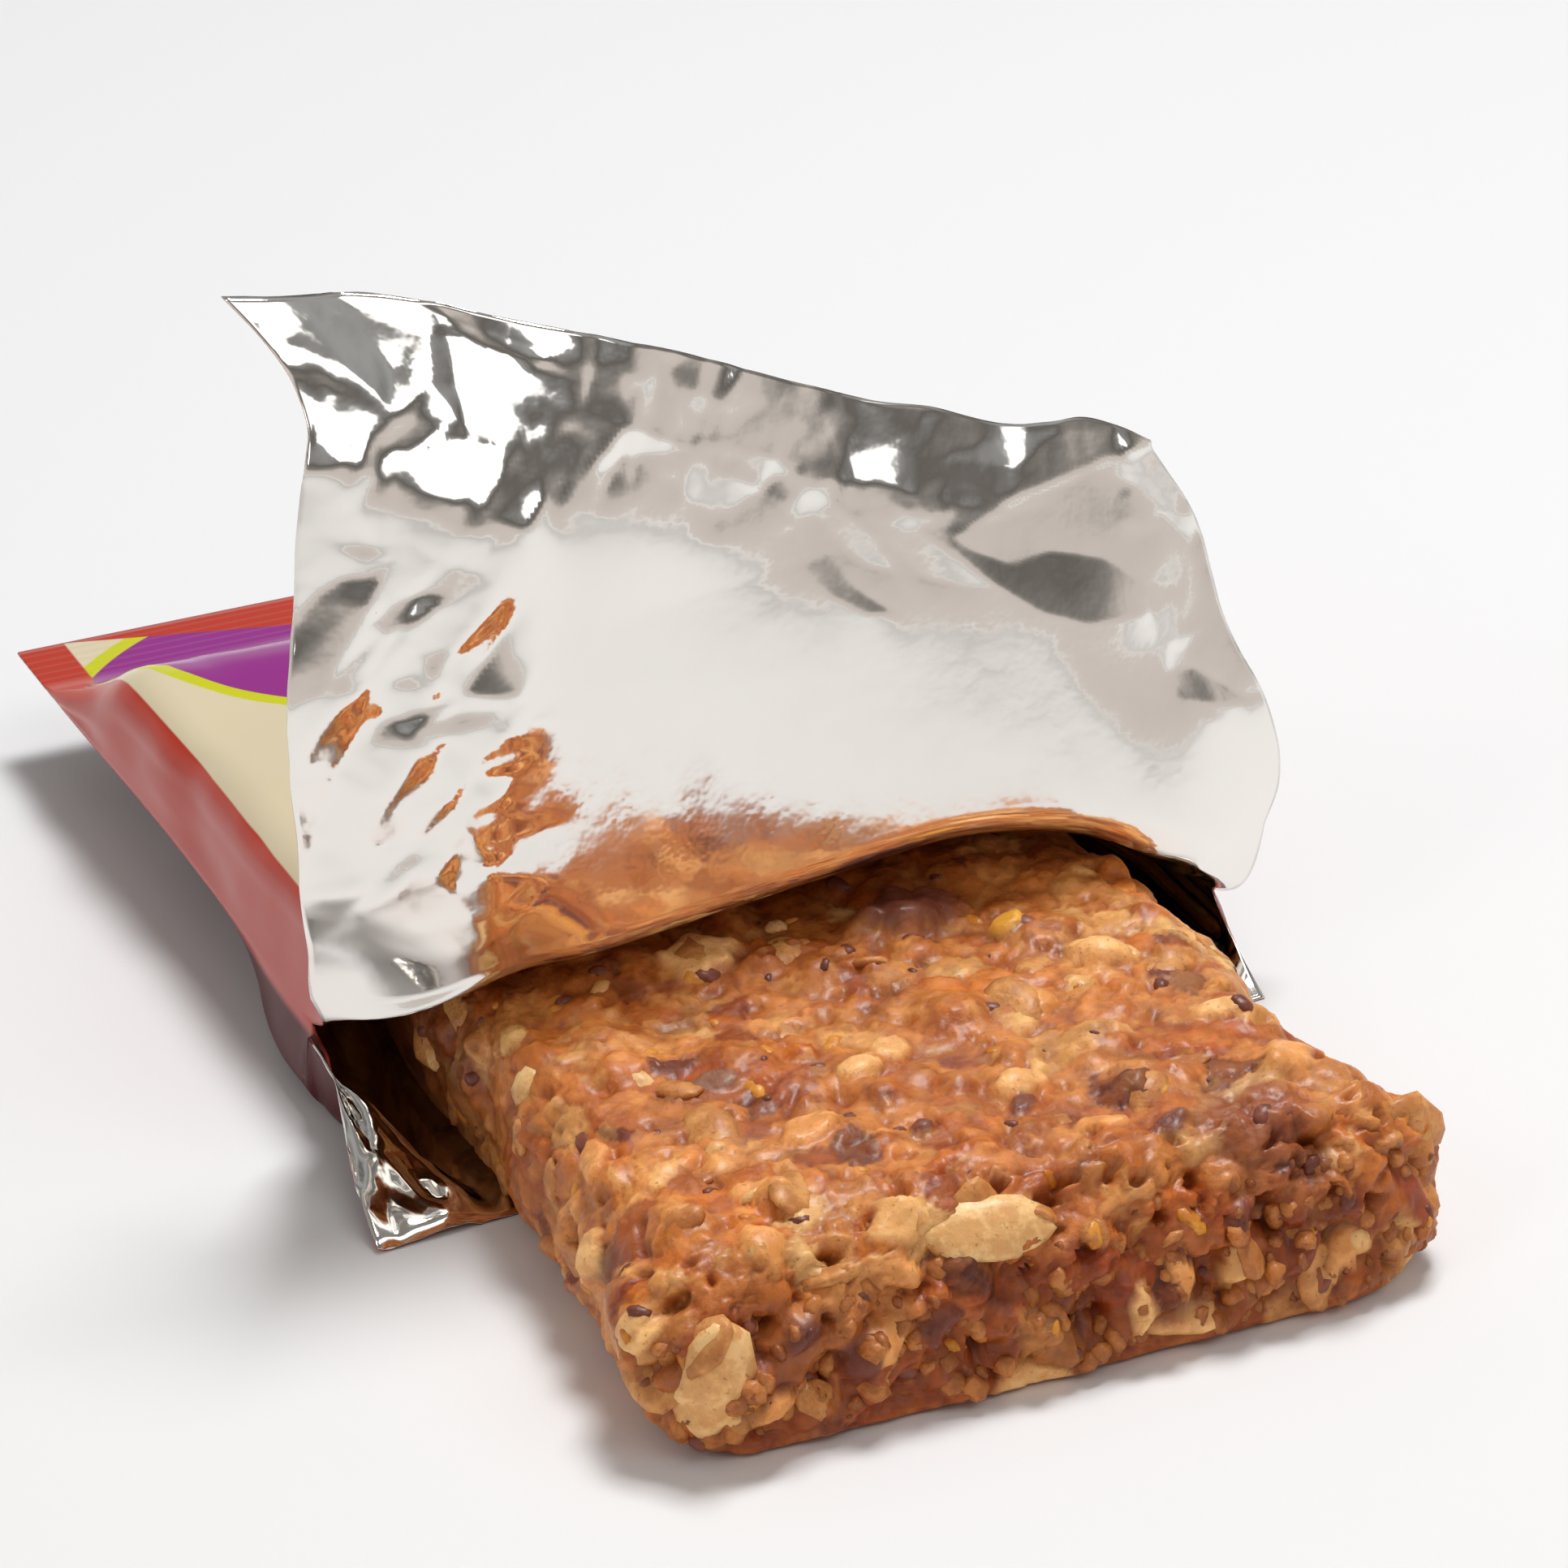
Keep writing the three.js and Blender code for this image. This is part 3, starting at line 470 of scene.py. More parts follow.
class Wire:
    """A socket in a shader's node tree. Sums on it add Math nodes to the tree."""

    def __init__(self, tree, socket=None):
        self.tree = tree
        self.socket = socket

    def node(self, kind, settings=(), inputs=(), output=0):
        made = self.tree.nodes.new("ShaderNode" + kind)
        for name, value in dict(settings).items():
            if name == "stops":
                ramp = made.color_ramp
                while len(ramp.elements) < len(value):
                    ramp.elements.new(1)
                for element, (place, colour) in zip(ramp.elements, value):
                    element.position = place
                    element.color = (*colour, 1)
            else:
                setattr(made, name, value)
        for place, value in dict(inputs).items():
            self.feed(made.inputs[place], value)
        return Wire(self.tree, made.outputs[output])

    def feed(self, socket, value):
        if isinstance(value, Wire):
            self.tree.links.new(value.socket, socket)
        elif isinstance(value, tuple) and len(value) == 3 and socket.type == "RGBA":
            socket.default_value = (*value, 1)
        else:
            socket.default_value = value

    def math(self, operation, *values):
        return self.node("Math", {"operation": operation}, dict(enumerate(values)))

    def __add__(self, other):
        return self.math("ADD", self, other)

    def __radd__(self, other):
        return self.math("ADD", other, self)

    def __sub__(self, other):
        return self.math("SUBTRACT", self, other)

    def __rsub__(self, other):
        return self.math("SUBTRACT", other, self)

    def __mul__(self, other):
        return self.math("MULTIPLY", self, other)

    def __rmul__(self, other):
        return self.math("MULTIPLY", other, self)

    def __pow__(self, other):
        return self.math("POWER", self, other)

    def __rpow__(self, other):
        return self.math("POWER", other, self)

    def __abs__(self):
        return self.math("ABSOLUTE", self)

    def most(self, other):
        return self.math("MAXIMUM", self, other)

    def sine(self):
        return self.math("SINE", self)

    def step(self, low, high):
        """0 below low, 1 above high and a smooth rise between them."""
        ranged = {"Value": self, "From Min": low, "From Max": high}
        return self.node("MapRange", {"interpolation_type": "SMOOTHSTEP"}, ranged)

    def mixed(self, low, high):
        """The colours low and high, mixed by this value."""
        return self.node("Mix", {"data_type": "RGBA"}, {0: self, 6: low, 7: high}, 2)


def new_finish(name):
    """A material, its Principled shader's inputs and a wire to start its node tree from."""
    material = bpy.data.materials.new(name)
    material.use_nodes = True
    shader = material.node_tree.nodes["Principled BSDF"]
    return material, shader.inputs, Wire(material.node_tree)


def sticky_finish(name, colour=None, pale=None, gloss=0.42, crumb=0.35):
    """Food held in syrup. Its colour is the piece's own grain attribute, or from one tone to another."""
    material, shader, wire = new_finish(name)
    place = wire.node("TexCoord", output="Object")
    blotch = wire.node("TexNoise", {}, {"Vector": place, "Scale": 700.0, "Detail": 4.0, "Roughness": 0.6})
    fine = {"Vector": place, "Scale": 3200.0, "Detail": 3.0, "Roughness": 0.55}
    speck = wire.node("TexNoise", {}, fine)
    crumbs = wire.node("TexVoronoi", {}, {"Vector": place, "Scale": 2300.0, "Randomness": 1.0})
    if colour is None:
        ground = wire.node("Attribute", {"attribute_name": "grain"})
    else:
        tone = wire.node("Attribute", {"attribute_name": "tone"}, output=2)
        ground = (blotch.step(0.35, 0.65) * 0.4 + tone * 0.6).mixed(colour, pale)
    warm = blotch.step(0.42, 0.62).mixed((0.86, 0.80, 0.70), (1.08, 1.10, 1.12))
    multiply = {"data_type": "RGBA", "blend_type": "MULTIPLY"}
    ground = wire.node("Mix", multiply, {0: 1.0, 6: ground, 7: warm}, 2)
    dots = speck.step(0.60, 0.72) * 0.5
    ground = dots.mixed(ground, (0.26, 0.075, 0.020))
    wire.feed(shader["Base Color"], ground)
    wire.feed(shader["Roughness"], blotch.step(0.3, 0.7) * 0.2 + gloss)
    height = crumbs * 0.5 + speck
    bump = wire.node("Bump", {}, {"Strength": crumb, "Distance": 0.00022, "Height": height})
    wire.feed(shader["Normal"], bump)
    shader["Coat Weight"].default_value = 0.28
    shader["Coat Roughness"].default_value = 0.28
    shader["Specular IOR Level"].default_value = 0.3
    shader["Subsurface Weight"].default_value = 0.22
    shader["Subsurface Radius"].default_value = (1.0, 0.38, 0.14)
    shader["Subsurface Scale"].default_value = 0.0012
    return material


def piece(name, points, faces, material):
    """A smooth-shaded object at the origin, with its place in its mesh."""
    mesh = bpy.data.meshes.new(name)
    mesh.from_pydata((np.asarray(points) * MM).tolist(), [], faces)
    mesh.materials.append(material)
    mesh.polygons.foreach_set("use_smooth", [True] * len(mesh.polygons))
    mesh.update()
    made = bpy.data.objects.new(name, mesh)
    bpy.context.scene.collection.objects.link(made)
    return made


bar_body = piece("bar_body", bar_points, bar_faces, sticky_finish("pressed_cereal"))
grain = bar_body.data.color_attributes.new("grain", "FLOAT_COLOR", "POINT")
grain.data.foreach_set("color", np.column_stack([colour, np.ones(len(colour))]).ravel())
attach(bar_body, "root")
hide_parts("bar")

# ---- Nuts, fruit and oats in the bar ----
# What shows of the mix: pale nut pieces up to 6 mm, dark fruit, orange peel, oat flakes and fine
# crumbs. The largest have their own places. The others are spread over the open part of the bar.
bar_tree = kdtree.KDTree(len(bar_points))
for number, point in enumerate(bar_points):
    bar_tree.insert(point, number)
bar_tree.balance()

LARGE_NUTS = [  # place, half sizes along, across and thick, turn in degrees, share sunk
    ((-19.8, -41.0, 4.4), (3.2, 1.9, 1.2), 80, 0.72),
    ((-5.0, -40.2, 9.4), (3.3, 1.6, 0.8), -6, 0.78),
]
ROUND, LAYERS = 20, 12
NUT_ROUGHNESS = [(0.30, 1.3, 0), (0.06, 3.1, 5)]  # how much, scale, place in the noise
NUTS_APART = 3.7
NUT_TONES = (0.2, 1)


def nuggets(name, places, material, seed):
    """Rough lumps sunk into the bar's surface, each a closed ball of rings with two poles."""
    points, faces = [], []
    for number, (place, half_sizes, turn, sunk) in enumerate(places):
        spot, index, _ = bar_tree.find(place)
        out = Vector(bar_normals[index]).normalized()
        along_x = (Vector((1, 0, 0)) - out * out.x).normalized()
        along_x.rotate(Quaternion(out, math.radians(turn)))
        axes = np.array([along_x, out.cross(along_x), out])
        lift = (1 - 2 * sunk) * half_sizes[2]
        first = len(points)
        for layer in range(LAYERS + 1):
            tilt = math.pi * layer / LAYERS
            for step in range(ROUND if 0 < layer < LAYERS else 1):
                around = 2 * math.pi * step / ROUND
                ball = Vector((
                    math.sin(tilt) * math.cos(around), math.sin(tilt) * math.sin(around), math.cos(tilt)))
                rough = 1
                for how_much, scale, level in NUT_ROUGHNESS:
                    away = Vector((seed, number * NUTS_APART, level))
                    rough += how_much * noise.noise(ball * scale + away)
                local = np.array(ball) * rough * half_sizes
                points.append(np.array(spot) + local @ axes + np.array(out) * lift)
        last = len(points) - 1
        ring = [first + 1 + layer * ROUND for layer in range(LAYERS - 1)]
        for step in range(ROUND):
            after = (step + 1) % ROUND
            faces.append((first, ring[0] + step, ring[0] + after))
            faces.append((last, ring[-1] + after, ring[-1] + step))
            for low, high in zip(ring[:-1], ring[1:]):
                faces.append((low + step, high + step, high + after, low + after))
    made = piece(name, points, faces, material)
    tones = np.random.default_rng(seed).uniform(*NUT_TONES, len(places))
    tone = made.data.attributes.new("tone", "FLOAT", "POINT")
    tone.data.foreach_set("value", np.repeat(tones, len(points) // len(places)))
    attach(made, "root")
    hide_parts("bar")


nut_finish = sticky_finish("nut", (0.82, 0.38, 0.12), (0.98, 0.60, 0.26), 0.38, 0.3)
fruit_finish = sticky_finish("dark_fruit", (0.13, 0.030, 0.016), (0.26, 0.075, 0.040), 0.35, 0.25)
oat_finish = sticky_finish("oat", (0.54, 0.18, 0.042), (0.70, 0.32, 0.095), 0.45, 0.4)
peel_finish = sticky_finish("orange_peel", (0.60, 0.17, 0.012), (0.80, 0.33, 0.035), 0.35, 0.25)
crumb_finish = sticky_finish("crumb", (0.20, 0.045, 0.010), (0.62, 0.22, 0.048), 0.45, 0.5)
nuggets("large_nuts", LARGE_NUTS, nut_finish, 1)

OPEN_PART = {"to_y": -3, "over_y": 3, "from_z": 0.6, "over_z": 0.8}
open_share = smooth((OPEN_PART["to_y"] - bar_points[:, 1]) / OPEN_PART["over_y"])
open_share = open_share * smooth((bar_points[:, 2] - OPEN_PART["from_z"]) / OPEN_PART["over_z"])
for attribute, values in (("open", open_share), ("broken", open_share * bar_front * end_face)):
    bar_body.data.attributes.new(attribute, "FLOAT", "POINT").data.foreach_set("value", values)


def spread(name, on, per_square_mm, apart, size, sunk, spread_of_sizes, lumpy, rings, material, seed):
    """Spreads one kind of small piece over the bar, where the named attribute allows it."""
    tree = bpy.data.node_groups.new(name, "GeometryNodeTree")
    values = {
        "Per square metre": per_square_mm / MM ** 2, "Apart": apart * MM, "Smallest": 1 - spread_of_sizes,
        "Largest": 1 + spread_of_sizes, "Lumpiness": lumpy * MM, "Seed": seed,
    }
    tree.interface.new_socket("Geometry", in_out="OUTPUT", socket_type="NodeSocketGeometry")
    tree.interface.new_socket("Geometry", in_out="INPUT", socket_type="NodeSocketGeometry")
    sockets = {}
    for label in values:
        kind = "NodeSocketInt" if label == "Seed" else "NodeSocketFloat"
        sockets[label] = tree.interface.new_socket(label, in_out="INPUT", socket_type=kind)

    def add(kind, settings=(), inputs=(), output=0):
        """Adds a node and gives its output."""
        made = tree.nodes.new(kind)
        for setting, value in dict(settings).items():
            setattr(made, setting, value)
        for place, value in dict(inputs).items():
            if isinstance(value, bpy.types.NodeSocket):
                tree.links.new(value, made.inputs[place])
            else:
                made.inputs[place].default_value = value
        return made.outputs[output] if made.outputs else None

    given = tree.nodes.new("NodeGroupInput").outputs

    def drawn(low, high):
        inputs = {2: low, 3: high, "Seed": given["Seed"]}
        return add("FunctionNodeRandomValue", {"data_type": "FLOAT"}, inputs, 1)

    allowed = add("GeometryNodeInputNamedAttribute", {"data_type": "FLOAT"}, {"Name": on})
    scatter = {
        "Mesh": given["Geometry"], "Distance Min": given["Apart"], "Seed": given["Seed"],
        "Density Max": given["Per square metre"], "Density Factor": allowed,
    }
    points = add("GeometryNodeDistributePointsOnFaces", {"distribute_method": "POISSON"}, scatter)
    facing = points.node.outputs["Rotation"]
    ball = add("GeometryNodeMeshUVSphere", {}, {"Segments": rings[0], "Rings": rings[1], "Radius": 0.5})
    scale, lift = tuple(s * MM for s in size), (0, 0, (0.5 - sunk) * size[2] * MM)
    flat = add("GeometryNodeTransform", {}, {"Geometry": ball, "Scale": scale, "Translation": lift})
    turn = {"Axis": (0, 0, 1), "Angle": drawn(0.0, 2 * math.pi)}
    turn = {"Rotation": facing, "Rotate By": add("FunctionNodeAxisAngleToRotation", {}, turn)}
    turned = add("FunctionNodeRotateRotation", {"rotation_space": "LOCAL"}, turn)
    placed = add("GeometryNodeInstanceOnPoints", {}, {
        "Points": points, "Instance": flat, "Rotation": turned,
        "Scale": drawn(given["Smallest"], given["Largest"]),
    })
    toned = add("GeometryNodeStoreNamedAttribute", {"data_type": "FLOAT", "domain": "INSTANCE"}, {
        "Geometry": placed, "Name": "tone", "Value": drawn(0.0, 1.0),
    })
    real = add("GeometryNodeRealizeInstances", {}, {"Geometry": toned})
    lumps = {"Scale": 1100.0, "Detail": 1.0}
    lumps = add("ShaderNodeTexNoise", {"noise_dimensions": "3D"}, lumps, "Color")
    centred = add("ShaderNodeVectorMath", {"operation": "SUBTRACT"}, {0: lumps, 1: (0.5, 0.5, 0.5)})
    shift = add("ShaderNodeVectorMath", {"operation": "SCALE"}, {0: centred, "Scale": given["Lumpiness"]})
    moved = add("GeometryNodeSetPosition", {}, {"Geometry": real, "Offset": shift})
    finished = add("GeometryNodeSetMaterial", {}, {"Geometry": moved, "Material": material})
    add("NodeGroupOutput", {}, {"Geometry": finished})

    source = bpy.data.objects.new(name, bar_body.data)
    bpy.context.scene.collection.objects.link(source)
    modifier = source.modifiers.new("spread", "NODES")
    modifier.node_group = tree
    for label, value in values.items():
        modifier[sockets[label].identifier] = value
    graph = bpy.context.evaluated_depsgraph_get()
    mesh = bpy.data.meshes.new_from_object(source.evaluated_get(graph))
    source.modifiers.clear()
    source.data = mesh
    mesh.name = name
    mesh.polygons.foreach_set("use_smooth", [True] * len(mesh.polygons))
    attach(source, "root")
    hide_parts("bar")


# Where, how many to a square millimetre, least distance apart, size along, across and thick, share
# sunk, spread of sizes, lumpiness, segments and rings, finish, seed
spread("oat_flakes", "open", 0.022, 3.2, (3.2, 2.2, 0.8), 0.88, 0.35, 0.6, (12, 6), oat_finish, 3)
spread("nut_pieces", "open", 0.007, 3.8, (2.0, 1.6, 1.3), 0.86, 0.45, 0.6, (10, 6), nut_finish, 7)
spread("fruit_bits", "open", 0.035, 2.2, (1.2, 0.8, 0.6), 0.84, 0.5, 0.4, (8, 6), fruit_finish, 12)
spread("peel_bits", "open", 0.022, 2.4, (1.5, 0.9, 0.6), 0.84, 0.4, 0.4, (8, 6), peel_finish, 19)
spread("crumbs", "broken", 0.6, 0.7, (1.1, 0.9, 0.75), 0.78, 0.5, 0.7, (8, 5), crumb_finish, 23)

# ---- The film's form ----
# The wrap is one sheet of printed foil: a sleeve round the bar's hidden half, crimped shut behind
# it. Torn open in front, its upper half stands up as a flap and its lower half lies under the bar.
# A place across the film is w, the distance from its centre line when it lies flat.
FILM = 0.1
FLAT_HALF = 25.6
SIDE_SHARE = 8 / 30
SHOULDER_W = FLAT_HALF * (1 - SIDE_SHARE)
SEAL_REAR, SEAL_DEPTH, SEAL_HEIGHT, SEAL_HALF = 45.3, 4.8, 6.0, 25.1
SEAL_FRONT = SEAL_REAR - SEAL_DEPTH
SLEEVE_HALF, SLEEVE_TOP = 24.6, 11.25
NARROW_FROM_Y = 28.5
WIDEN = {"from_y": 10, "over": 30}
SHOULDER = {"radius": 2.4, "left": 0.7, "right": 6.0, "right_rear": 1.5}
ROUND_AT_MOST = 0.8  # share of the side's height
FOOT = {"radius": 2.0, "front": -0.6, "rear": 3.4, "from_y": 2, "over": 20}
CREASE_HEIGHT = {"left": 5.0, "right": 3.4}
TEAR_Y = {"left": -0.5, "right": -5.0}
# The tray is the film that runs on from the tear under the open part of the bar.
TRAY_FRONT = {"left": -15.6, "right": -11.5}
TRAY_CORNER = {"left": -27.0, "right": 24.4}
TRAY_SETTLE = 0.7  # power of the way down from the tear to the table
TRAY_WALL = {"from_w": 20.0, "front_from_w": 18.3, "over": 2.0}
TRAY_FACETS = [(2.6, 0.85, 8), (1.2, 0.28, 9)]  # spacing, height, seed
FULL_DENTS_FROM = 0.25  # share of the way from the tear to the tray's front
SLEEVE_FACETS = [(5.5, 0.42, 14), (2.4, 0.10, 15)]
CALM_TOP = {"share": 0.25, "half": 15, "over_w": 4, "to_y": 26, "over_y": 10}
CALM_RIM = {"side": 2, "seal": 3, "tear_from_y": 1, "tear": 4}
# The line where the film turns up into the flap, as pairs of w and y and of w and z, and how far above
# it the upright sheet begins
BEND_FRONT_Y = [
    (-25.6, -5.0), (-22.5, -9.2), (-19.5, -11.3), (-15, -12.0), (-10, -11.7), (0, -10.9), (7.5, -10.7),
    (14, -11.3), (19, -11.4), (25.6, -7.6),
]
BEND_Z = [
    (-25.6, 6.9), (-21, 8.4), (-16, 10.2), (-10, 10.8), (0, 11.7), (7.5, 12.4), (12, 12.0), (16, 10.6),
    (19, 8.2), (22, 6.0), (25.6, 4.2),
]
FLAP_FOOT = [(-25.6, 1.6), (-18, 2.4), (-10, 2.4), (0, 2.2), (16, 2.2), (25.6, 4.0)]
# The flap's torn rim at each w, and its side edges at each height
FLAP_TOP = [
    (-25.6, 46.8), (-23.5, 46.4), (-21.2, 45.9), (-19, 45.5), (-17, 45), (-15, 44.4), (-13, 43.7),
    (-10, 42.9), (-7, 41.8), (-4, 40.6), (0, 38.9), (4, 37.1), (8, 35.4), (12, 34.2), (16, 32.5),
    (19, 31.9), (21.5, 31.5), (24, 30.4), (25.6, 29.4),
]
FLAP_LEFT = [
    (5, -25.2), (11, -26.3), (16, -27.6), (20, -27.7), (24, -28), (28, -28), (32, -27), (36, -26.5),
    (39, -25.9), (41, -25.3), (43, -25.5), (45, -26.5), (47, -28),
]
FLAP_RIGHT = [
    (8, 26.2), (10, 27.1), (12, 27.2), (14, 26.8), (16, 26.2), (18, 25.3), (20, 24.7), (22, 24.5),
    (24, 24.3), (26, 23.5), (27.5, 22.6), (29, 21.7),
]
# How far forward the flap stands, and how far it leans back for each millimetre of height, below and
# above its knee
SHEET_Y = [
    (-25.6, -9.4), (-22, -11.0), (-16, -11.8), (-10, -11.6), (0, -10.9), (7.5, -10.7), (14, -11.0),
    (19, -11.2), (25.6, -8.4),
]
FLATTEN = 9  # height over which the bend's line turns into the sheet's own
KNEE = [
    (-25.6, 40.6), (-22, 38.2), (-19.5, 36.7), (-16, 35.2), (-14.3, 34.7), (-10.7, 34.5), (-8, 33.8),
    (-5.8, 32.7), (0.7, 29.2), (6.1, 26.5), (11.3, 24.6), (14, 22.7), (16, 19.7), (19, 16.9), (22, 16.3),
    (25.6, 15.6),
]
KNEE_SOFTNESS = 0.9
LEAN_BELOW = [
    (-25.6, 0.02), (-20, 0.05), (-16, 0.04), (-12, 0.07), (-8.7, 0.075), (-6, 0.085), (0, 0.13),
    (6, 0.17), (14, 0.18), (20, 0.17), (25.6, 0.1),
]
LEAN_ABOVE = [
    (-25.6, 0.55), (-17, 0.6), (-12.5, 0.46), (-9, 0.38), (0, 0.36), (12, 0.35), (25.6, 0.34),
]
# What pulls the bend's curve: where its corner lies, and how straight it leaves and arrives
PULL = {"across": 0.4, "forward": 0.4, "leave": 0.85, "arrive": 0.75}
# Parts of the flap that lean back by their own amount: lean for each millimetre, corners (w, z)
LEANING = [
    (0.88, [
        (-26.5, 46.6), (-23.3, 46.6), (-17.8, 44.7), (-15.2, 43.7), (-12.6, 42.4), (-11.2, 42.2),
        (-12.9, 41.5), (-12.8, 39.8), (-12.3, 37.8), (-12.4, 36.0), (-13.8, 34.9), (-15.5, 35.7),
        (-16.1, 37.1), (-16.9, 38.2), (-14.8, 38.8), (-17.4, 39.9), (-21.1, 40.8), (-22.4, 43.0),
        (-26.5, 45.2),
    ]),
    (0.72, [
        (-25.1, 44.2), (-23.8, 42.3), (-21.2, 40.6), (-17.4, 39.7), (-15.3, 38.5), (-17.8, 38.4),
        (-14.4, 36.5), (-14.2, 35.1), (-16.2, 36.5), (-19.6, 37.5), (-22.4, 38.8), (-25.1, 40.6),
        (-26.0, 41.5),
    ]),
    (0.50, [
        (-16.7, 45.3), (-14.1, 44.4), (-8.0, 42.5), (0.4, 38.9), (4.0, 37.1), (5.5, 34.3), (3.7, 34.9),
        (-0.1, 36.6), (-4.6, 39.9), (-8.0, 41.2), (-10.7, 42.1), (-12.9, 42.5), (-15.5, 43.3),
    ]),
    (0.46, [
        (-11.4, 41.9), (-7.9, 41.5), (-6.1, 39.5), (-7.1, 38.1), (-9.9, 37.5), (-12.0, 36.3),
        (-12.1, 38.5), (-12.5, 40.1),
    ]),
    (0.20, [(-7.5, 40.6), (-1.1, 37.6), (-2.2, 36.4), (-4.8, 37.0), (-7.0, 38.8)]),
    (0.46, [
        (-1.2, 37.4), (3.9, 35.4), (5.8, 33.8), (4.7, 32.4), (2.0, 34.0), (-0.4, 35.3), (-2.2, 36.4),
    ]),
    (0.50, [
        (-2.8, 35.6), (-0.6, 34.8), (1.7, 33.0), (3.4, 31.0), (4.6, 29.1), (5.2, 27.2), (6.7, 25.4),
        (5.2, 25.8), (3.7, 27.3), (3.1, 29.1), (2.5, 30.8), (0.4, 33.1), (-2.0, 34.6),
    ]),
    (0.18, [
        (0.6, 34.9), (3.0, 33.2), (6.0, 30.6), (7.6, 29.1), (7.8, 27.4), (6.6, 27.9), (5.5, 29.2),
        (4.0, 31.1), (1.9, 33.4),
    ]),
    (0.18, [
        (8.5, 30.8), (9.6, 30.0), (11.0, 27.9), (12.1, 25.8), (11.0, 25.9), (8.9, 26.9), (8.4, 28.6),
    ]),
    (0.70, [
        (3.3, 37.5), (8.8, 34.9), (11.2, 34.3), (16.1, 32.8), (19.4, 32.5), (22.9, 31.6), (25.0, 29.3),
        (22.6, 29.3), (16.5, 29.4), (13.5, 28.8), (11.6, 28.4), (10.2, 30.7), (8.3, 31.6), (5.8, 32.1),
        (5.5, 34.3),
    ]),
    (0.79, [(12.4, 29.9), (14.3, 29.6), (15.3, 29.1), (13.5, 28.8), (12.4, 29.2)]),
    (0.66, [
        (11.5, 29.0), (12.1, 27.7), (13.8, 26.3), (16.5, 26.2), (18.9, 25.1), (20.5, 23.3), (20.7, 21.9),
        (16.7, 22.7), (14.3, 23.9), (12.4, 26.0), (11.4, 28.1),
    ]),
    (0.70, [(20.7, 18.6), (22.4, 18.2), (23.4, 17.0), (24.3, 15.5), (22.8, 16.2), (21.0, 17.3)]),
    (-0.10, [
        (23.7, 29.5), (25.8, 29.1), (26.0, 27.0), (26.0, 24.5), (24.6, 23.3), (23.4, 25.9), (23.3, 28.0),
    ]),
    (-0.40, [(-23.3, 37.8), (-21.9, 35.7), (-22.0, 35.3), (-22.9, 36.3)]),
    (0.50, [
        (-26.0, 29.6), (-25.0, 32.5), (-23.4, 33.7), (-21.5, 33.7), (-22.9, 30.8), (-23.9, 28.6),
        (-26.0, 27.0),
    ]),
    (-0.30, [
        (-25.0, 24.8), (-23.9, 26.6), (-21.5, 28.5), (-22.1, 26.1), (-23.3, 23.9), (-24.8, 19.9),
        (-25.3, 22.1),
    ]),
    (0.50, [(-16.7, 27.2), (-14.2, 30.1), (-14.1, 26.7), (-15.8, 26.9)]),
    (0.48, [(-21.8, 25.2), (-21.0, 26.1), (-15.1, 26.3), (-16.0, 25.5), (-19.7, 25.0)]),
    (0.30, [(-20.6, 28.3), (-18.0, 29.1), (-18.0, 27.9), (-20.2, 27.6)]),
    (-0.15, [(-22.3, 20.8), (-21.4, 21.3), (-18.5, 21.6), (-19.7, 20.4), (-21.9, 19.6)]),
    (0.52, [(-23.7, 15.8), (-22.4, 17.2), (-20.3, 19.8), (-20.3, 18.9), (-21.4, 17.1), (-22.9, 16.0)]),
    (0.50, [(-22.1, 31.4), (-20.3, 32.4), (-18.0, 32.3), (-18.8, 31.5), (-21.0, 30.8)]),
    (-0.20, [(-17.0, 22.8), (-15.7, 23.3), (-14.1, 23.2), (-15.2, 22.7)]),
]
LEAN_EDGE, LEAN_STEP, ACROSS_STIFFNESS = 0.2, 0.1, 0.2
# Below this line the flap's left side leans forward, towards its foot.
UNDERCUT = {
    "lean": 0.22, "softness": 0.4, "from_w": -12, "over": 4,
    "line": [(-25.6, 12.6), (-21, 14.0), (-16, 15.2), (-12, 15.5), (25.6, 4.0)],
}
# Crumpled zones of the flap: centre (w, z), half sizes across and up, strength
CRUMPLED = [
    ((-19.0, 42.5), (9.0, 6.0), 1.0),
    ((-9.0, 39.5), (6.0, 4.5), 0.9),
    ((3.0, 35.5), (8.0, 4.0), 0.8),
    ((16.0, 31.5), (8.0, 2.5), 0.45),
    ((-20.0, 27.0), (6.5, 10.0), 0.8),
    ((-21.5, 18.0), (5.5, 4.5), 0.8),
    ((24.0, 22.5), (3.0, 8.0), 0.5),
]
FACETS = [  # spacing, height, seed
    (3.1, 0.34, 5),
    (1.5, 0.11, 6),
]
# Long narrow creases: centre (w, z), half sizes, turn in degrees, height, spacing, seed
STREAKS = [
    ((-18.0, 42.0), (9.0, 4.5), -28, 0.16, 1.5, 51),
    ((-4.0, 38.5), (8.0, 3.5), -30, 0.08, 1.6, 52),
    ((12.0, 32.5), (10.0, 2.5), -12, 0.05, 1.6, 53),
    ((-20.0, 26.5), (6.0, 8.0), 52, 0.17, 1.7, 54),
    ((-19.0, 18.5), (6.5, 4.0), 12, 0.15, 1.3, 55),
]
STREAK_STRETCH = 3.2
LEAST_CRUMPLE, CRUMPLE_RIM, STREAK_RIM = 0.012, 1.6, 1.5
FLAP_FROM_Z, FLAP_TO_Z = 4, 49
FACET_SHIFT = 0.49  # how far a facet's corner may stand off its place, in spacings
COLUMNS, SEAL_ROWS, SLEEVE_ROWS, BEND_ROWS, FLAP_ROWS, TRAY_ROWS = 200, 10, 30, 16, 128, 20


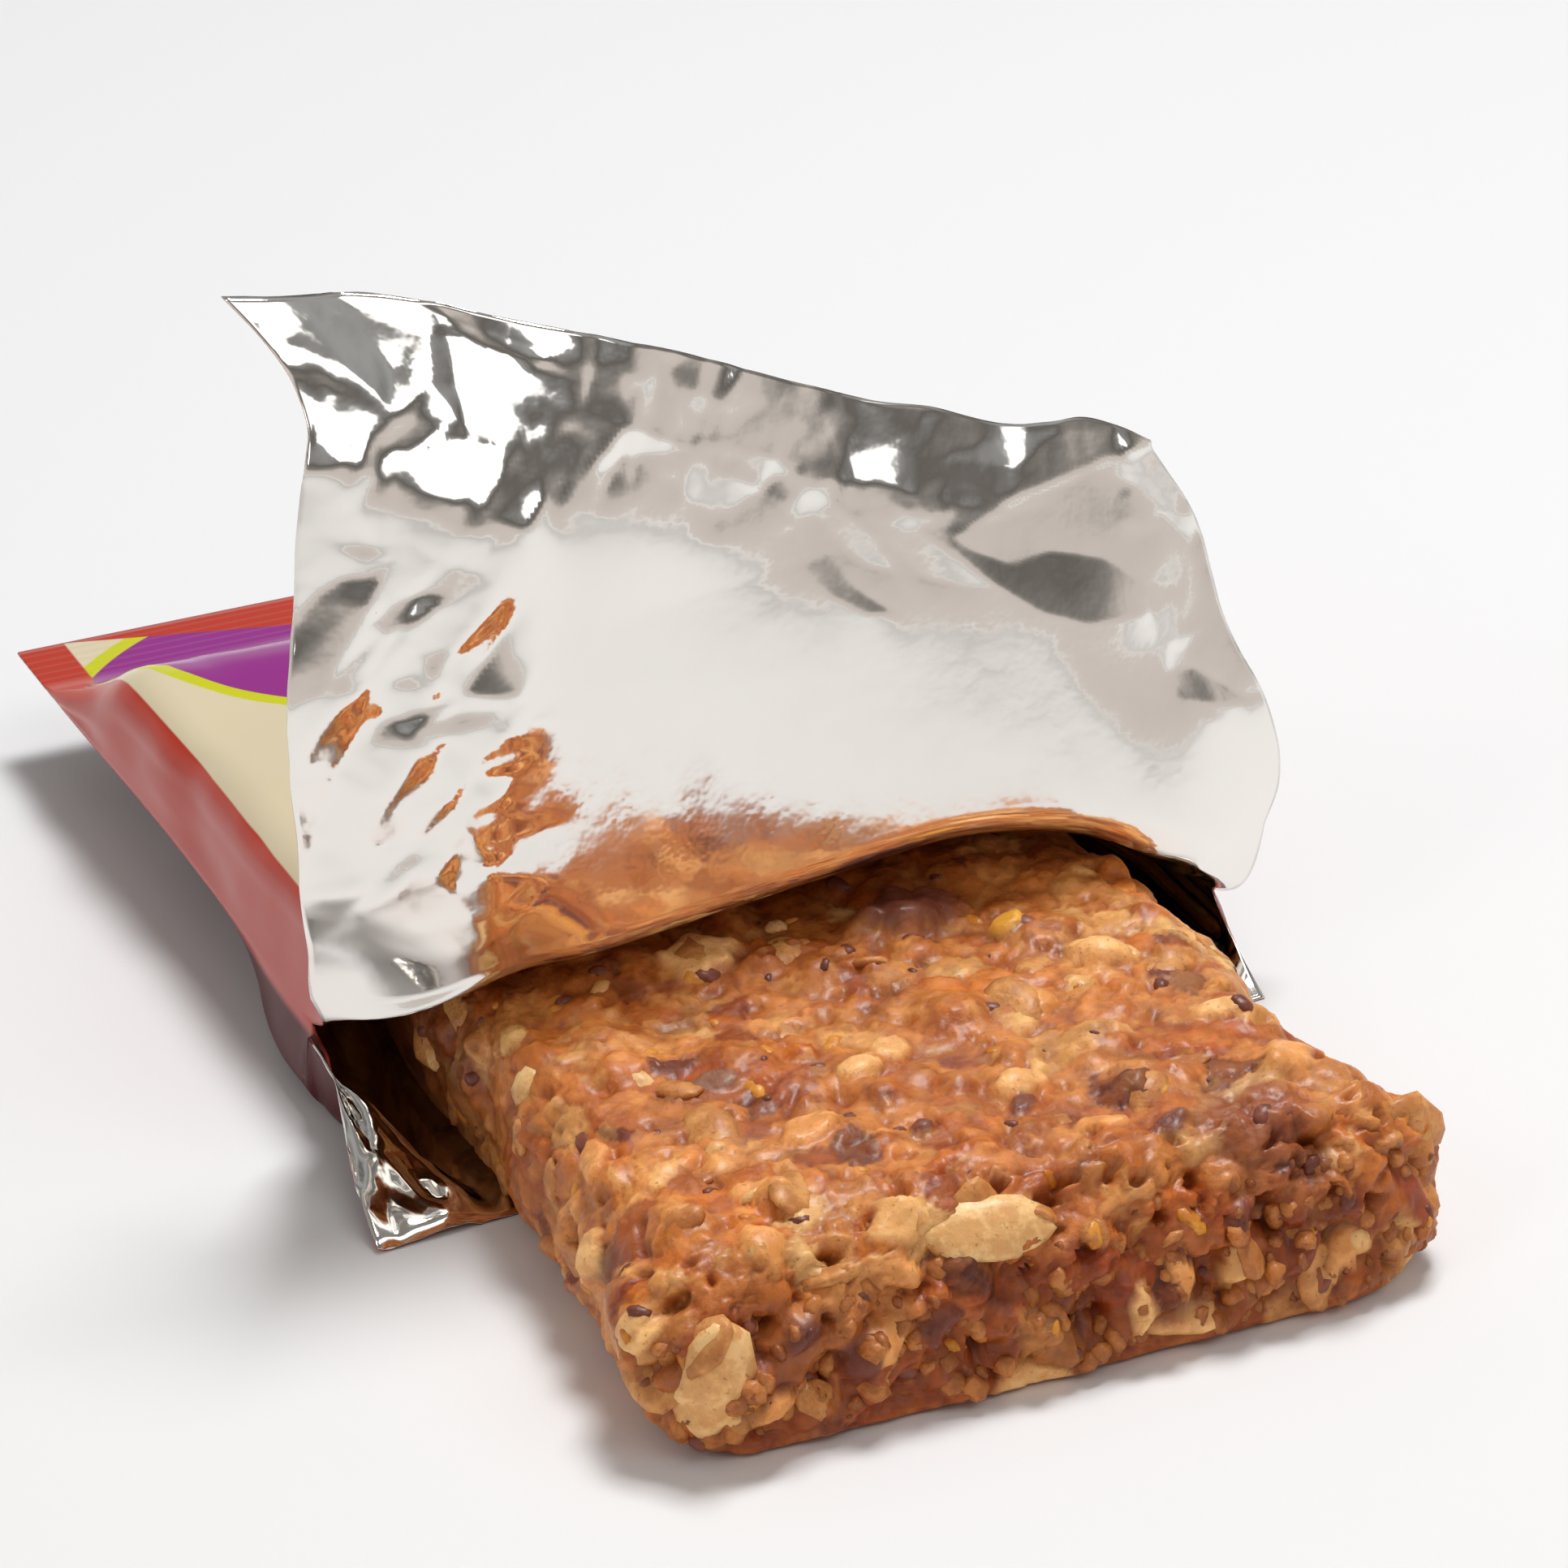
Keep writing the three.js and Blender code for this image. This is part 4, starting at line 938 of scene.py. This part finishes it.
def along(stops, x):
    """Smooth curve through pairs of place and value."""
    places, values = np.array(stops, float).T
    wide_places = np.concatenate([places[:1], places, places[-1:]])
    wide_values = np.concatenate([values[:1], values, values[-1:]])
    slopes = (wide_values[2:] - wide_values[:-2]) / (wide_places[2:] - wide_places[:-2])
    x = np.clip(x, places[0], places[-1])
    i = np.clip(np.searchsorted(places, x, side="right") - 1, 0, len(places) - 2)
    step = places[i + 1] - places[i]
    t = (x - places[i]) / step
    bend = (1 - t) * slopes[i] - t * slopes[i + 1]
    return lerp(values[i], values[i + 1], smooth(t)) + step * t * (1 - t) * bend


def across_share(w):
    return (w / FLAT_HALF + 1) / 2


def tear_y(w):
    return lerp(TEAR_Y["left"], TEAR_Y["right"], across_share(w))


def sleeve_point(w, y, over):
    """A point of the sleeve, over the bar (1) or under it (-1)."""
    narrowing = smooth((y - NARROW_FROM_Y) / (SEAL_FRONT - NARROW_FROM_Y))
    forward = smooth((NARROW_FROM_Y - y) / (NARROW_FROM_Y - TEAR_Y["left"]))
    on_right = w > 0
    crease_front = np.where(on_right, CREASE_HEIGHT["right"], CREASE_HEIGHT["left"])
    crease = lerp(SEAL_HEIGHT, crease_front, forward)
    half = FILM / 2
    if over > 0:
        flat = lerp(SLEEVE_TOP, SEAL_HEIGHT + half, narrowing)
        wanted = SHOULDER["radius"]
        on_right_inset = lerp(SHOULDER["right_rear"], SHOULDER["right"], forward)
        inset = np.where(on_right, on_right_inset, SHOULDER["left"])
    else:
        flat = lerp(half, SEAL_HEIGHT - half, narrowing)
        wanted = FOOT["radius"]
        inset = lerp(FOOT["front"], FOOT["rear"], smooth((y - FOOT["from_y"]) / FOOT["over"]))
    inset = (1 - narrowing) * inset
    width = lerp(SLEEVE_HALF, SEAL_HALF, smooth((y - WIDEN["from_y"]) / WIDEN["over"]))
    tall = np.abs(flat - crease)
    radius = np.minimum(wanted, tall * ROUND_AT_MOST)
    q = np.abs(w)
    wall = tall - radius
    run = (FLAT_HALF - q) / (FLAT_HALF - SHOULDER_W) * (wall + radius * np.pi / 2)
    turn = np.maximum(run - wall, 0) / radius
    side_x = width - inset * np.minimum(run / wall, 1) - radius * (1 - np.cos(turn))
    flat_x = (width - inset - radius) * np.minimum(q / SHOULDER_W, 1)
    x = np.where(q > SHOULDER_W, side_x, flat_x)
    up = np.where(q > SHOULDER_W, np.minimum(run, wall) + radius * np.sin(turn), tall)
    return np.stack([np.sign(w) * x, y, crease + over * up], -1)


def soft_ramp(value, softness):
    """0 far below zero, the value itself far above it and a soft corner between."""
    return softness * np.log1p(np.exp(value / softness))


def facets(w, z, spacing, seed):
    """Flat facets that meet in sharp creases, with corners at heights from -1 to 1."""
    draw = np.random.default_rng(seed)
    across = np.arange(w.min() - 2 * spacing, w.max() + 3 * spacing, spacing)
    up = np.arange(z.min() - 2 * spacing, z.max() + 3 * spacing, spacing)
    spots = np.stack(np.meshgrid(across, up), -1).reshape(-1, 2)
    spots = spots + draw.uniform(-FACET_SHIFT, FACET_SHIFT, spots.shape) * spacing
    corners, _, triangles, origins, _, _ = geometry.delaunay_2d_cdt(
        [Vector(spot) for spot in spots], [], [], 0, 0.00001)
    draws = draw.uniform(-1, 1, len(spots))
    heights = np.array([draws[origin[0]] for origin in origins])
    corners = np.array([tuple(corner) for corner in corners])
    flat_w, flat_z = w.ravel(), z.ravel()
    rise = np.zeros(flat_w.size)
    for triangle in triangles:
        a, b, c = corners[list(triangle)]
        near = np.flatnonzero(
            (flat_w >= min(a[0], b[0], c[0])) & (flat_w <= max(a[0], b[0], c[0]))
            & (flat_z >= min(a[1], b[1], c[1])) & (flat_z <= max(a[1], b[1], c[1])))
        du, dv = flat_w[near] - a[0], flat_z[near] - a[1]
        area = (b[0] - a[0]) * (c[1] - a[1]) - (c[0] - a[0]) * (b[1] - a[1])
        to_b = (du * (c[1] - a[1]) - dv * (c[0] - a[0])) / area
        to_c = (dv * (b[0] - a[0]) - du * (b[1] - a[1])) / area
        inside = (to_b >= 0) & (to_c >= 0) & (to_b + to_c <= 1)
        level = heights[list(triangle)]
        values = level[0] + to_b * (level[1] - level[0]) + to_c * (level[2] - level[0])
        rise[near[inside]] = values[inside]
    return rise.reshape(w.shape)


def inside_of(corners, w, z):
    """Distance inside a patch of the flap, below zero outside it."""
    off = np.full(w.shape, np.inf)
    inside = np.zeros(w.shape, bool)
    for start, end in zip(corners, corners[1:] + corners[:1]):
        line = np.subtract(end, start)
        share = np.clip(((w - start[0]) * line[0] + (z - start[1]) * line[1]) / (line @ line), 0, 1)
        off = np.minimum(off, np.hypot(w - start[0] - share * line[0], z - start[1] - share * line[1]))
        crossing = (start[1] > z) != (end[1] > z)
        rise = line[1] if line[1] else 1e-9
        inside ^= crossing & (w < start[0] + (z - start[1]) * line[0] / rise)
    return np.where(inside, off, -off)


def settled(lean, across_step, up_step):
    """Heights of a sheet that come as near as they can to a lean at each place and none across."""
    rows, columns = lean.shape
    pull = np.diff(np.pad(lean, ((1, 0), (0, 0))), axis=0) / up_step
    mirrored = np.concatenate([pull, pull[::-1]])
    mirrored = np.concatenate([mirrored, mirrored[:, ::-1]], axis=1)
    turn_up = (2 * np.cos(2 * np.pi * np.fft.fftfreq(2 * rows)) - 2) / up_step ** 2
    turn_across = (2 * np.cos(2 * np.pi * np.fft.fftfreq(2 * columns)) - 2) / across_step ** 2
    stiffness = turn_up[:, None] + ACROSS_STIFFNESS * turn_across
    stiffness[0, 0] = 1
    spectrum = np.fft.fft2(mirrored) / stiffness
    spectrum[0, 0] = 0
    return np.fft.ifft2(spectrum).real[:rows, :columns]


def leaned(w, z, foot):
    """How far back the film stands at a height, from the leans of all its parts below."""
    columns = w[0]
    levels = np.arange(FLAP_FROM_Z, FLAP_TO_Z, LEAN_STEP)
    each_w, each_z = np.meshgrid(columns, levels)
    over_knee = 1 / (1 + np.exp(np.clip((along(KNEE, each_w) - each_z) / KNEE_SOFTNESS, -60, 60)))
    base = lerp(along(LEAN_BELOW, each_w), along(LEAN_ABOVE, each_w), over_knee)
    lean = base
    for own_lean, corners in LEANING:
        lean = lerp(lean, own_lean, smooth(inside_of(corners, each_w, each_z) / LEAN_EDGE + 0.5))
    total = np.cumsum(base, axis=0) * LEAN_STEP + settled(lean - base, columns[1] - columns[0], LEAN_STEP)
    back = [
        np.interp(z[:, n], levels, total[:, n]) - np.interp(foot[:, n], levels, total[:, n])
        for n in range(len(columns))
    ]
    return np.stack(back, 1)


def crumple(w, z):
    share = np.full(w.shape, LEAST_CRUMPLE)
    for centre, reach, strength in CRUMPLED:
        near = ((w - centre[0]) / reach[0]) ** 2 + ((z - centre[1]) / reach[1]) ** 2
        share = np.maximum(share, strength * smooth(CRUMPLE_RIM - near))
    total = share * sum(height * facets(w, z, spacing, seed) for spacing, height, seed in FACETS)
    for centre, reach, turn, height, spacing, seed in STREAKS:
        near = ((w - centre[0]) / reach[0]) ** 2 + ((z - centre[1]) / reach[1]) ** 2
        cos, sin = math.cos(math.radians(turn)), math.sin(math.radians(turn))
        down_streak, across_streak = (w * cos + z * sin) / STREAK_STRETCH, z * cos - w * sin
        total += height * smooth(STREAK_RIM - near) * facets(down_streak, across_streak, spacing, seed)
    return total


def flap_back(w, z):
    """The fine form of the flap: its crumpled zones and the undercut at its foot."""
    under = UNDERCUT["lean"] * soft_ramp(along(UNDERCUT["line"], w) - z, UNDERCUT["softness"])
    return crumple(w, z) + under * smooth((UNDERCUT["from_w"] - w) / UNDERCUT["over"])


def sheet_point(w, z):
    """A point of the upright sheet of the flap, at a height."""
    x = lerp(along(FLAP_LEFT, z), along(FLAP_RIGHT, z), across_share(w))
    foot = along(BEND_Z, w) + along(FLAP_FOOT, w)
    front = lerp(along(BEND_FRONT_Y, w), along(SHEET_Y, w), smooth((z - foot) / FLATTEN))
    y = front + leaned(w, z, foot)
    return np.stack([x, y, z], -1)


def bend_point(w, share):
    """The film turns up from the sleeve's torn line to the foot of the upright sheet."""
    start = sleeve_point(w, tear_y(w), 1)
    end = sheet_point(w, along(BEND_Z, w) + along(FLAP_FOOT, w))
    corner_x = lerp(start[..., 0], end[..., 0], PULL["across"])
    corner = np.stack([corner_x, end[..., 1] - PULL["forward"], along(BEND_Z, w)], -1)
    leave = lerp(start, corner, PULL["leave"])
    arrive = lerp(end, corner, PULL["arrive"])
    t = np.expand_dims(share, -1)
    first_half = (1 - t) ** 3 * start + 3 * t * (1 - t) ** 2 * leave
    return first_half + 3 * t * t * (1 - t) * arrive + t ** 3 * end


def tray_point(w, share):
    start = sleeve_point(w, tear_y(w), -1)
    across = across_share(w)
    from_w = lerp(TRAY_WALL["from_w"], TRAY_WALL["front_from_w"], smooth(share))
    at_left = smooth((-w - from_w) / TRAY_WALL["over"])
    x = lerp(start[..., 0], lerp(TRAY_CORNER["left"], TRAY_CORNER["right"], across), smooth(share))
    y = lerp(start[..., 1], lerp(TRAY_FRONT["left"], TRAY_FRONT["right"], across), share)
    z = lerp(start[..., 2], FILM / 2, share ** TRAY_SETTLE)
    z = np.maximum(z, CREASE_HEIGHT["left"] * (1 - share) * at_left)
    dent = sum(height * facets(w, y, spacing, seed) for spacing, height, seed in TRAY_FACETS)
    z += np.abs(dent) * smooth(share / FULL_DENTS_FROM) * at_left
    return np.stack([x, y, z], -1)


# Rows of points from the rear seal forwards, over the bar and up the flap, and under the bar.
film_w = np.linspace(-FLAT_HALF, FLAT_HALF, COLUMNS + 1)
seal_y = np.linspace(SEAL_REAR, SEAL_FRONT, SEAL_ROWS + 1)[:-1, None] + 0 * film_w
sleeve_share = np.linspace(0, 1, SLEEVE_ROWS + 1)[:, None]
sleeve_y = np.concatenate([seal_y, lerp(SEAL_FRONT, tear_y(film_w), sleeve_share)])
w_all = 0 * sleeve_y + film_w
sleeve = sleeve_point(w_all, sleeve_y, 1)
outward = np.cross(np.gradient(sleeve, axis=1), -np.gradient(sleeve, axis=0))
outward /= np.linalg.norm(outward, axis=2)[..., None] + 1e-9
wrinkle = sum(height * facets(w_all, sleeve_y, spacing, seed) for spacing, height, seed in SLEEVE_FACETS)
off_middle = smooth((np.abs(w_all) - CALM_TOP["half"]) / CALM_TOP["over_w"])
near_seal = smooth((sleeve_y - CALM_TOP["to_y"]) / CALM_TOP["over_y"])
wrinkle *= lerp(CALM_TOP["share"], 1, np.maximum(off_middle, near_seal))
off_rim = smooth((FLAT_HALF - np.abs(w_all)) / CALM_RIM["side"])
off_rim = off_rim * smooth((SEAL_FRONT - sleeve_y) / CALM_RIM["seal"])
wrinkle *= off_rim * smooth((sleeve_y - CALM_RIM["tear_from_y"]) / CALM_RIM["tear"])
over_rows = [sleeve + outward * wrinkle[..., None]]
under_rows = [sleeve_point(w_all, sleeve_y, -1)]
bend_share = np.linspace(0, 1, BEND_ROWS + 1)[1:, None] + 0 * film_w
bend = bend_point(0 * bend_share + film_w, bend_share)
bend[..., 1] += flap_back(0 * bend_share + film_w, bend[..., 2]) * smooth(bend_share)
over_rows.append(bend)
flap_share = np.linspace(0, 1, FLAP_ROWS + 1)[1:, None]
flap_z = lerp(along(BEND_Z, film_w) + along(FLAP_FOOT, film_w), along(FLAP_TOP, film_w), flap_share)
sheet = sheet_point(0 * flap_z + film_w, flap_z)
sheet[..., 1] += flap_back(0 * flap_z + film_w, flap_z)
over_rows.append(sheet)
tray_share = np.linspace(0, 1, TRAY_ROWS + 1)[1:, None] + 0 * film_w
under_rows.append(tray_point(0 * tray_share + film_w, tray_share))
over, under = np.concatenate(over_rows), np.concatenate(under_rows)


def along_film(grid):
    """The y that each point would have if the film lay flat, from the rear seal on."""
    steps = np.linalg.norm(np.diff(grid, axis=0), axis=2)
    return SEAL_REAR - np.concatenate([np.zeros((1, grid.shape[1])), np.cumsum(steps, axis=0)])


over_place = np.stack([0 * over[..., 0] + film_w, along_film(over)], -1)
around = np.sign(film_w) * (2 * FLAT_HALF - np.abs(film_w))
under_place = np.stack([0 * under[..., 0] + around, along_film(under)], -1)

# One list of points. The halves share their points along the side creases of the sleeve.
over_ids = np.arange(over[..., 0].size).reshape(over.shape[:2])
under_ids = over_ids.size + np.arange(under[..., 0].size).reshape(under.shape[:2])
sleeve_count = len(sleeve_y)
for side in (0, -1):
    under_ids[:sleeve_count, side] = over_ids[:sleeve_count, side]
film_points = np.concatenate([over.reshape(-1, 3), under.reshape(-1, 3)])


def grid_quads(ids):
    return np.stack([ids[:-1, :-1], ids[1:, :-1], ids[1:, 1:], ids[:-1, 1:]], -1).reshape(-1, 4)


def at_corners(places):
    """The places of a grid's points, at the corners of its quads."""
    numbers = np.arange(places[..., 0].size).reshape(places.shape[:2])
    return places.reshape(-1, 2)[grid_quads(numbers)]


film_quads = np.concatenate([grid_quads(over_ids), grid_quads(under_ids)[:, ::-1]])
film_corners = np.concatenate([at_corners(over_place), at_corners(under_place)[:, ::-1]])


def normals_of(points, quads):
    first, second, third, fourth = (points[quads[:, n]] for n in range(4))
    normal = np.cross(third - first, fourth - second)
    total = np.zeros_like(points)
    for n in range(4):
        np.add.at(total, quads[:, n], normal)
    return total / (np.linalg.norm(total, axis=1)[:, None] + 1e-12)


# ---- The foil and the printed layer ----
# The film is two layers laminated together: bright metallised foil inside, which meets the food,
# and glossy print outside, a cream field in a red border with part of a purple disc ringed in lime.
# Each is a closed shell half a film thick.
film_normals = normals_of(film_points, film_quads)
PRINT_SPAN = 200.0  # what the whole UV square stands for


def shell(name, low, high, material):
    """A closed shell between two distances from the film's middle surface."""
    used = np.unique(film_quads)
    compact = np.full(len(film_points), -1)
    compact[used] = np.arange(len(used))
    quads = compact[film_quads]
    upper = film_points[used] + film_normals[used] * high
    lower = film_points[used] + film_normals[used] * low
    edges = np.concatenate([quads[:, [n, (n + 1) % 4]] for n in range(4)])
    tag = np.sort(edges, axis=1) @ [1, len(used)]
    _, first, times = np.unique(tag, return_index=True, return_counts=True)
    rim = edges[first[times == 1]]
    count = len(used)
    wall = np.stack([rim[:, 1], rim[:, 0], rim[:, 0] + count, rim[:, 1] + count], 1)
    faces = np.concatenate([quads, quads[:, ::-1] + count, wall])
    made = piece(name, np.concatenate([upper, lower]), faces.tolist(), material)
    edge_place = np.zeros((2 * count, 2))
    edge_place[compact[film_quads.ravel()]] = film_corners.reshape(-1, 2)
    edge_place[count:] = edge_place[:count]
    corners = np.concatenate([film_corners, film_corners[:, ::-1], edge_place[wall]])
    layer = made.data.uv_layers.new(name="film")
    layer.data.foreach_set("uv", (corners / PRINT_SPAN + 0.5).ravel())
    return made


foil, shader, wire = new_finish("bright_foil")
place = wire.node("TexCoord", output="Object")
shader["Metallic"].default_value = 1.0
shader["Base Color"].default_value = (0.89, 0.86, 0.815, 1)
dimple = wire.node("TexNoise", {}, {"Vector": place, "Scale": 420.0, "Detail": 3.0})
wire.feed(shader["Roughness"], dimple.step(0.3, 0.8) * 0.06 + 0.07)
dimple = wire.node("Bump", {}, {"Strength": 0.10, "Distance": 0.0004, "Height": dimple})
wire.feed(shader["Normal"], dimple)

printed, shader, wire = new_finish("printed_film")
uv = wire.node("UVMap", {"uv_map": "film"})
across_film = wire.node("SeparateXYZ", {}, {0: uv}, "X") * PRINT_SPAN - PRINT_SPAN / 2
along_print = wire.node("SeparateXYZ", {}, {0: uv}, "Y") * PRINT_SPAN - PRINT_SPAN / 2
CREAM = (0.71, 0.62, 0.42)
PURPLE = (0.29, 0.018, 0.24)
LIME = (0.60, 0.62, 0.004)
RED = (0.50, 0.033, 0.012)
BORDER = {"w": 20.6, "seal_w": 16.8, "from_y": 33.0, "to_y": 40.6}
REAR_BAND = {"from_w": -17.0, "slope": 0.37, "deepest": 5.2}
SHADED_UNDERSIDE_RED = (0.085, 0.006, 0.008)
DISC = {"w": -4.5, "y": 32.3, "radius": 15.5, "ring": 0.85}
UNDERSIDE_FROM = (25.9, 26.6)
RIBS = {"turn_per_mm": 7.85, "from_y": 40.6, "full_y": 40.9}
EDGE_BLUR = 0.06
COAT, COAT_LOST_UNDER = 0.5, 0.45
from_disc = ((across_film - DISC["w"]) ** 2.0 + (along_print - DISC["y"]) ** 2.0) ** 0.5
ground = from_disc.step(DISC["radius"] - EDGE_BLUR, DISC["radius"] + EDGE_BLUR).mixed(LIME, CREAM)
inner = DISC["radius"] - DISC["ring"]
ground = from_disc.step(inner - EDGE_BLUR, inner + EDGE_BLUR).mixed(PURPLE, ground)
narrower = along_print.step(BORDER["from_y"], BORDER["to_y"]) * (BORDER["w"] - BORDER["seal_w"])
border = abs(across_film) - BORDER["w"] + narrower
ground = border.step(-EDGE_BLUR, EDGE_BLUR).mixed(ground, RED)
underside = abs(across_film).step(*UNDERSIDE_FROM)
# The underside is red print painted very dark, as painted shade where it faces down towards the table.
ground = underside.mixed(ground, SHADED_UNDERSIDE_RED)
band_edge = SEAL_REAR - (across_film - REAR_BAND["from_w"]) * REAR_BAND["slope"]
rear_band = along_print - band_edge.most(SEAL_REAR - REAR_BAND["deepest"])
ground = rear_band.step(-EDGE_BLUR, EDGE_BLUR).mixed(ground, RED)
wire.feed(shader["Base Color"], ground)
ribs = (along_print * RIBS["turn_per_mm"]).sine() * along_print.step(RIBS["from_y"], RIBS["full_y"])
ribs = wire.node("Bump", {}, {"Strength": 0.6, "Distance": 0.00005, "Height": ribs})
wire.feed(shader["Normal"], ribs)
shader["Roughness"].default_value = 0.35
wire.feed(shader["Coat Weight"], COAT - underside * COAT_LOST_UNDER)
shader["Coat Roughness"].default_value = 0.04
shader["Coat IOR"].default_value = 1.6
shader["Specular IOR Level"].default_value = 0.2

LAYER_GAP = 0.001
foil_layer = shell("foil_layer", -FILM / 2, 0.0, foil)
print_layer = shell("print_layer", LAYER_GAP, FILM / 2, printed)
for layer, slot in ((foil_layer, "foil"), (print_layer, "print")):
    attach(layer, "root")
    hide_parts("wrapper")

# ---- Table and light ----
# The bar lies on a white table, painted darker behind it as painted shade, that glows far off into a
# white sweep. One small lamp stands high behind it on the right, a weak one on the left and a wide soft
# one in front. Metres from here.
TABLE_HALF = 2.0
NEAR_WHITE, FAR_SHADED_WHITE, SWEEP_GLOW = (0.87, 0.87, 0.865), (0.77, 0.775, 0.78), (0.56, 0.55, 0.54)
FAR_SHADE_FROM, SWEEP_FROM = (-0.08, 0.25), (0.4, 1.3)
rim = [(-1, -1), (1, -1), (1, 1), (-1, 1)]
table = bpy.data.meshes.new("table")
table.from_pydata([(x * TABLE_HALF, y * TABLE_HALF, 0) for x, y in rim], [], [(0, 1, 2, 3)])
material, shader, wire = new_finish("white_table")
shader["Roughness"].default_value = 0.6
place = wire.node("TexCoord", output="Object")
out_x = wire.node("SeparateXYZ", {}, {0: place}, "X")
out_y = wire.node("SeparateXYZ", {}, {0: place}, "Y")
# Painted shade: the table's colour darkens behind the bar, where the lamps' light falls off.
wire.feed(shader["Base Color"], out_y.step(*FAR_SHADE_FROM).mixed(NEAR_WHITE, FAR_SHADED_WHITE))
sweep = ((out_x ** 2.0 + out_y ** 2.0) ** 0.5).step(*SWEEP_FROM)
wire.feed(shader["Emission Color"], sweep.mixed((0.0, 0.0, 0.0), SWEEP_GLOW))
shader["Emission Strength"].default_value = 1.0
table.materials.append(material)
table = bpy.data.objects.new("table", table)
bpy.context.scene.collection.objects.link(table)


def lamp(name, place, target, size, power, colour):
    data = bpy.data.lights.new(name, "AREA")
    data.shape = "RECTANGLE"
    data.size, data.size_y = size
    data.energy = power
    data.color = colour
    made = bpy.data.objects.new(name, data)
    made.location = place
    made.rotation_euler = (Vector(place) - Vector(target)).to_track_quat("Z", "Y").to_euler()
    bpy.context.scene.collection.objects.link(made)


lamp("overhead_lamp", (0.17, 0.14, 0.62), (0, 0, 0), (0.20, 0.20), 3.35, (0.985, 0.985, 1.0))
lamp("left_lamp", (-0.58, -0.22, 0.45), (0, 0, 0), (0.22, 0.22), 0.4, (1.0, 0.985, 0.96))
lamp("front_lamp", (0.24, -0.62, 0.80), (0, 0, 0.03), (1.00, 0.42), 1.5, (1.0, 1.0, 1.0))

world = bpy.data.worlds.new("studio")
world.use_nodes = True
bpy.context.scene.world = world
wire = Wire(world.node_tree)
direction = wire.node("TexCoord", output="Generated")
height = wire.node("SeparateXYZ", {}, {0: direction}, "Z")
# Seen in the foil: pale by the table, dark above it, then a softly lit ceiling
sky = wire.node("ValToRGB", {"stops": [
    (0.0, (0.66, 0.61, 0.58)),
    (0.20, (0.60, 0.55, 0.52)),
    (0.33, (0.26, 0.245, 0.23)),
    (0.46, (0.13, 0.12, 0.11)),
    (0.56, (0.24, 0.238, 0.238)),
    (0.70, (0.36, 0.362, 0.368)),
    (0.84, (0.24, 0.235, 0.23)),
    (1.0, (0.20, 0.185, 0.17)),
]}, {0: height})
background = world.node_tree.nodes["Background"]
wire.feed(background.inputs["Color"], sky)
background.inputs["Strength"].default_value = 1.0
bpy.context.scene.view_settings.view_transform = "Standard"
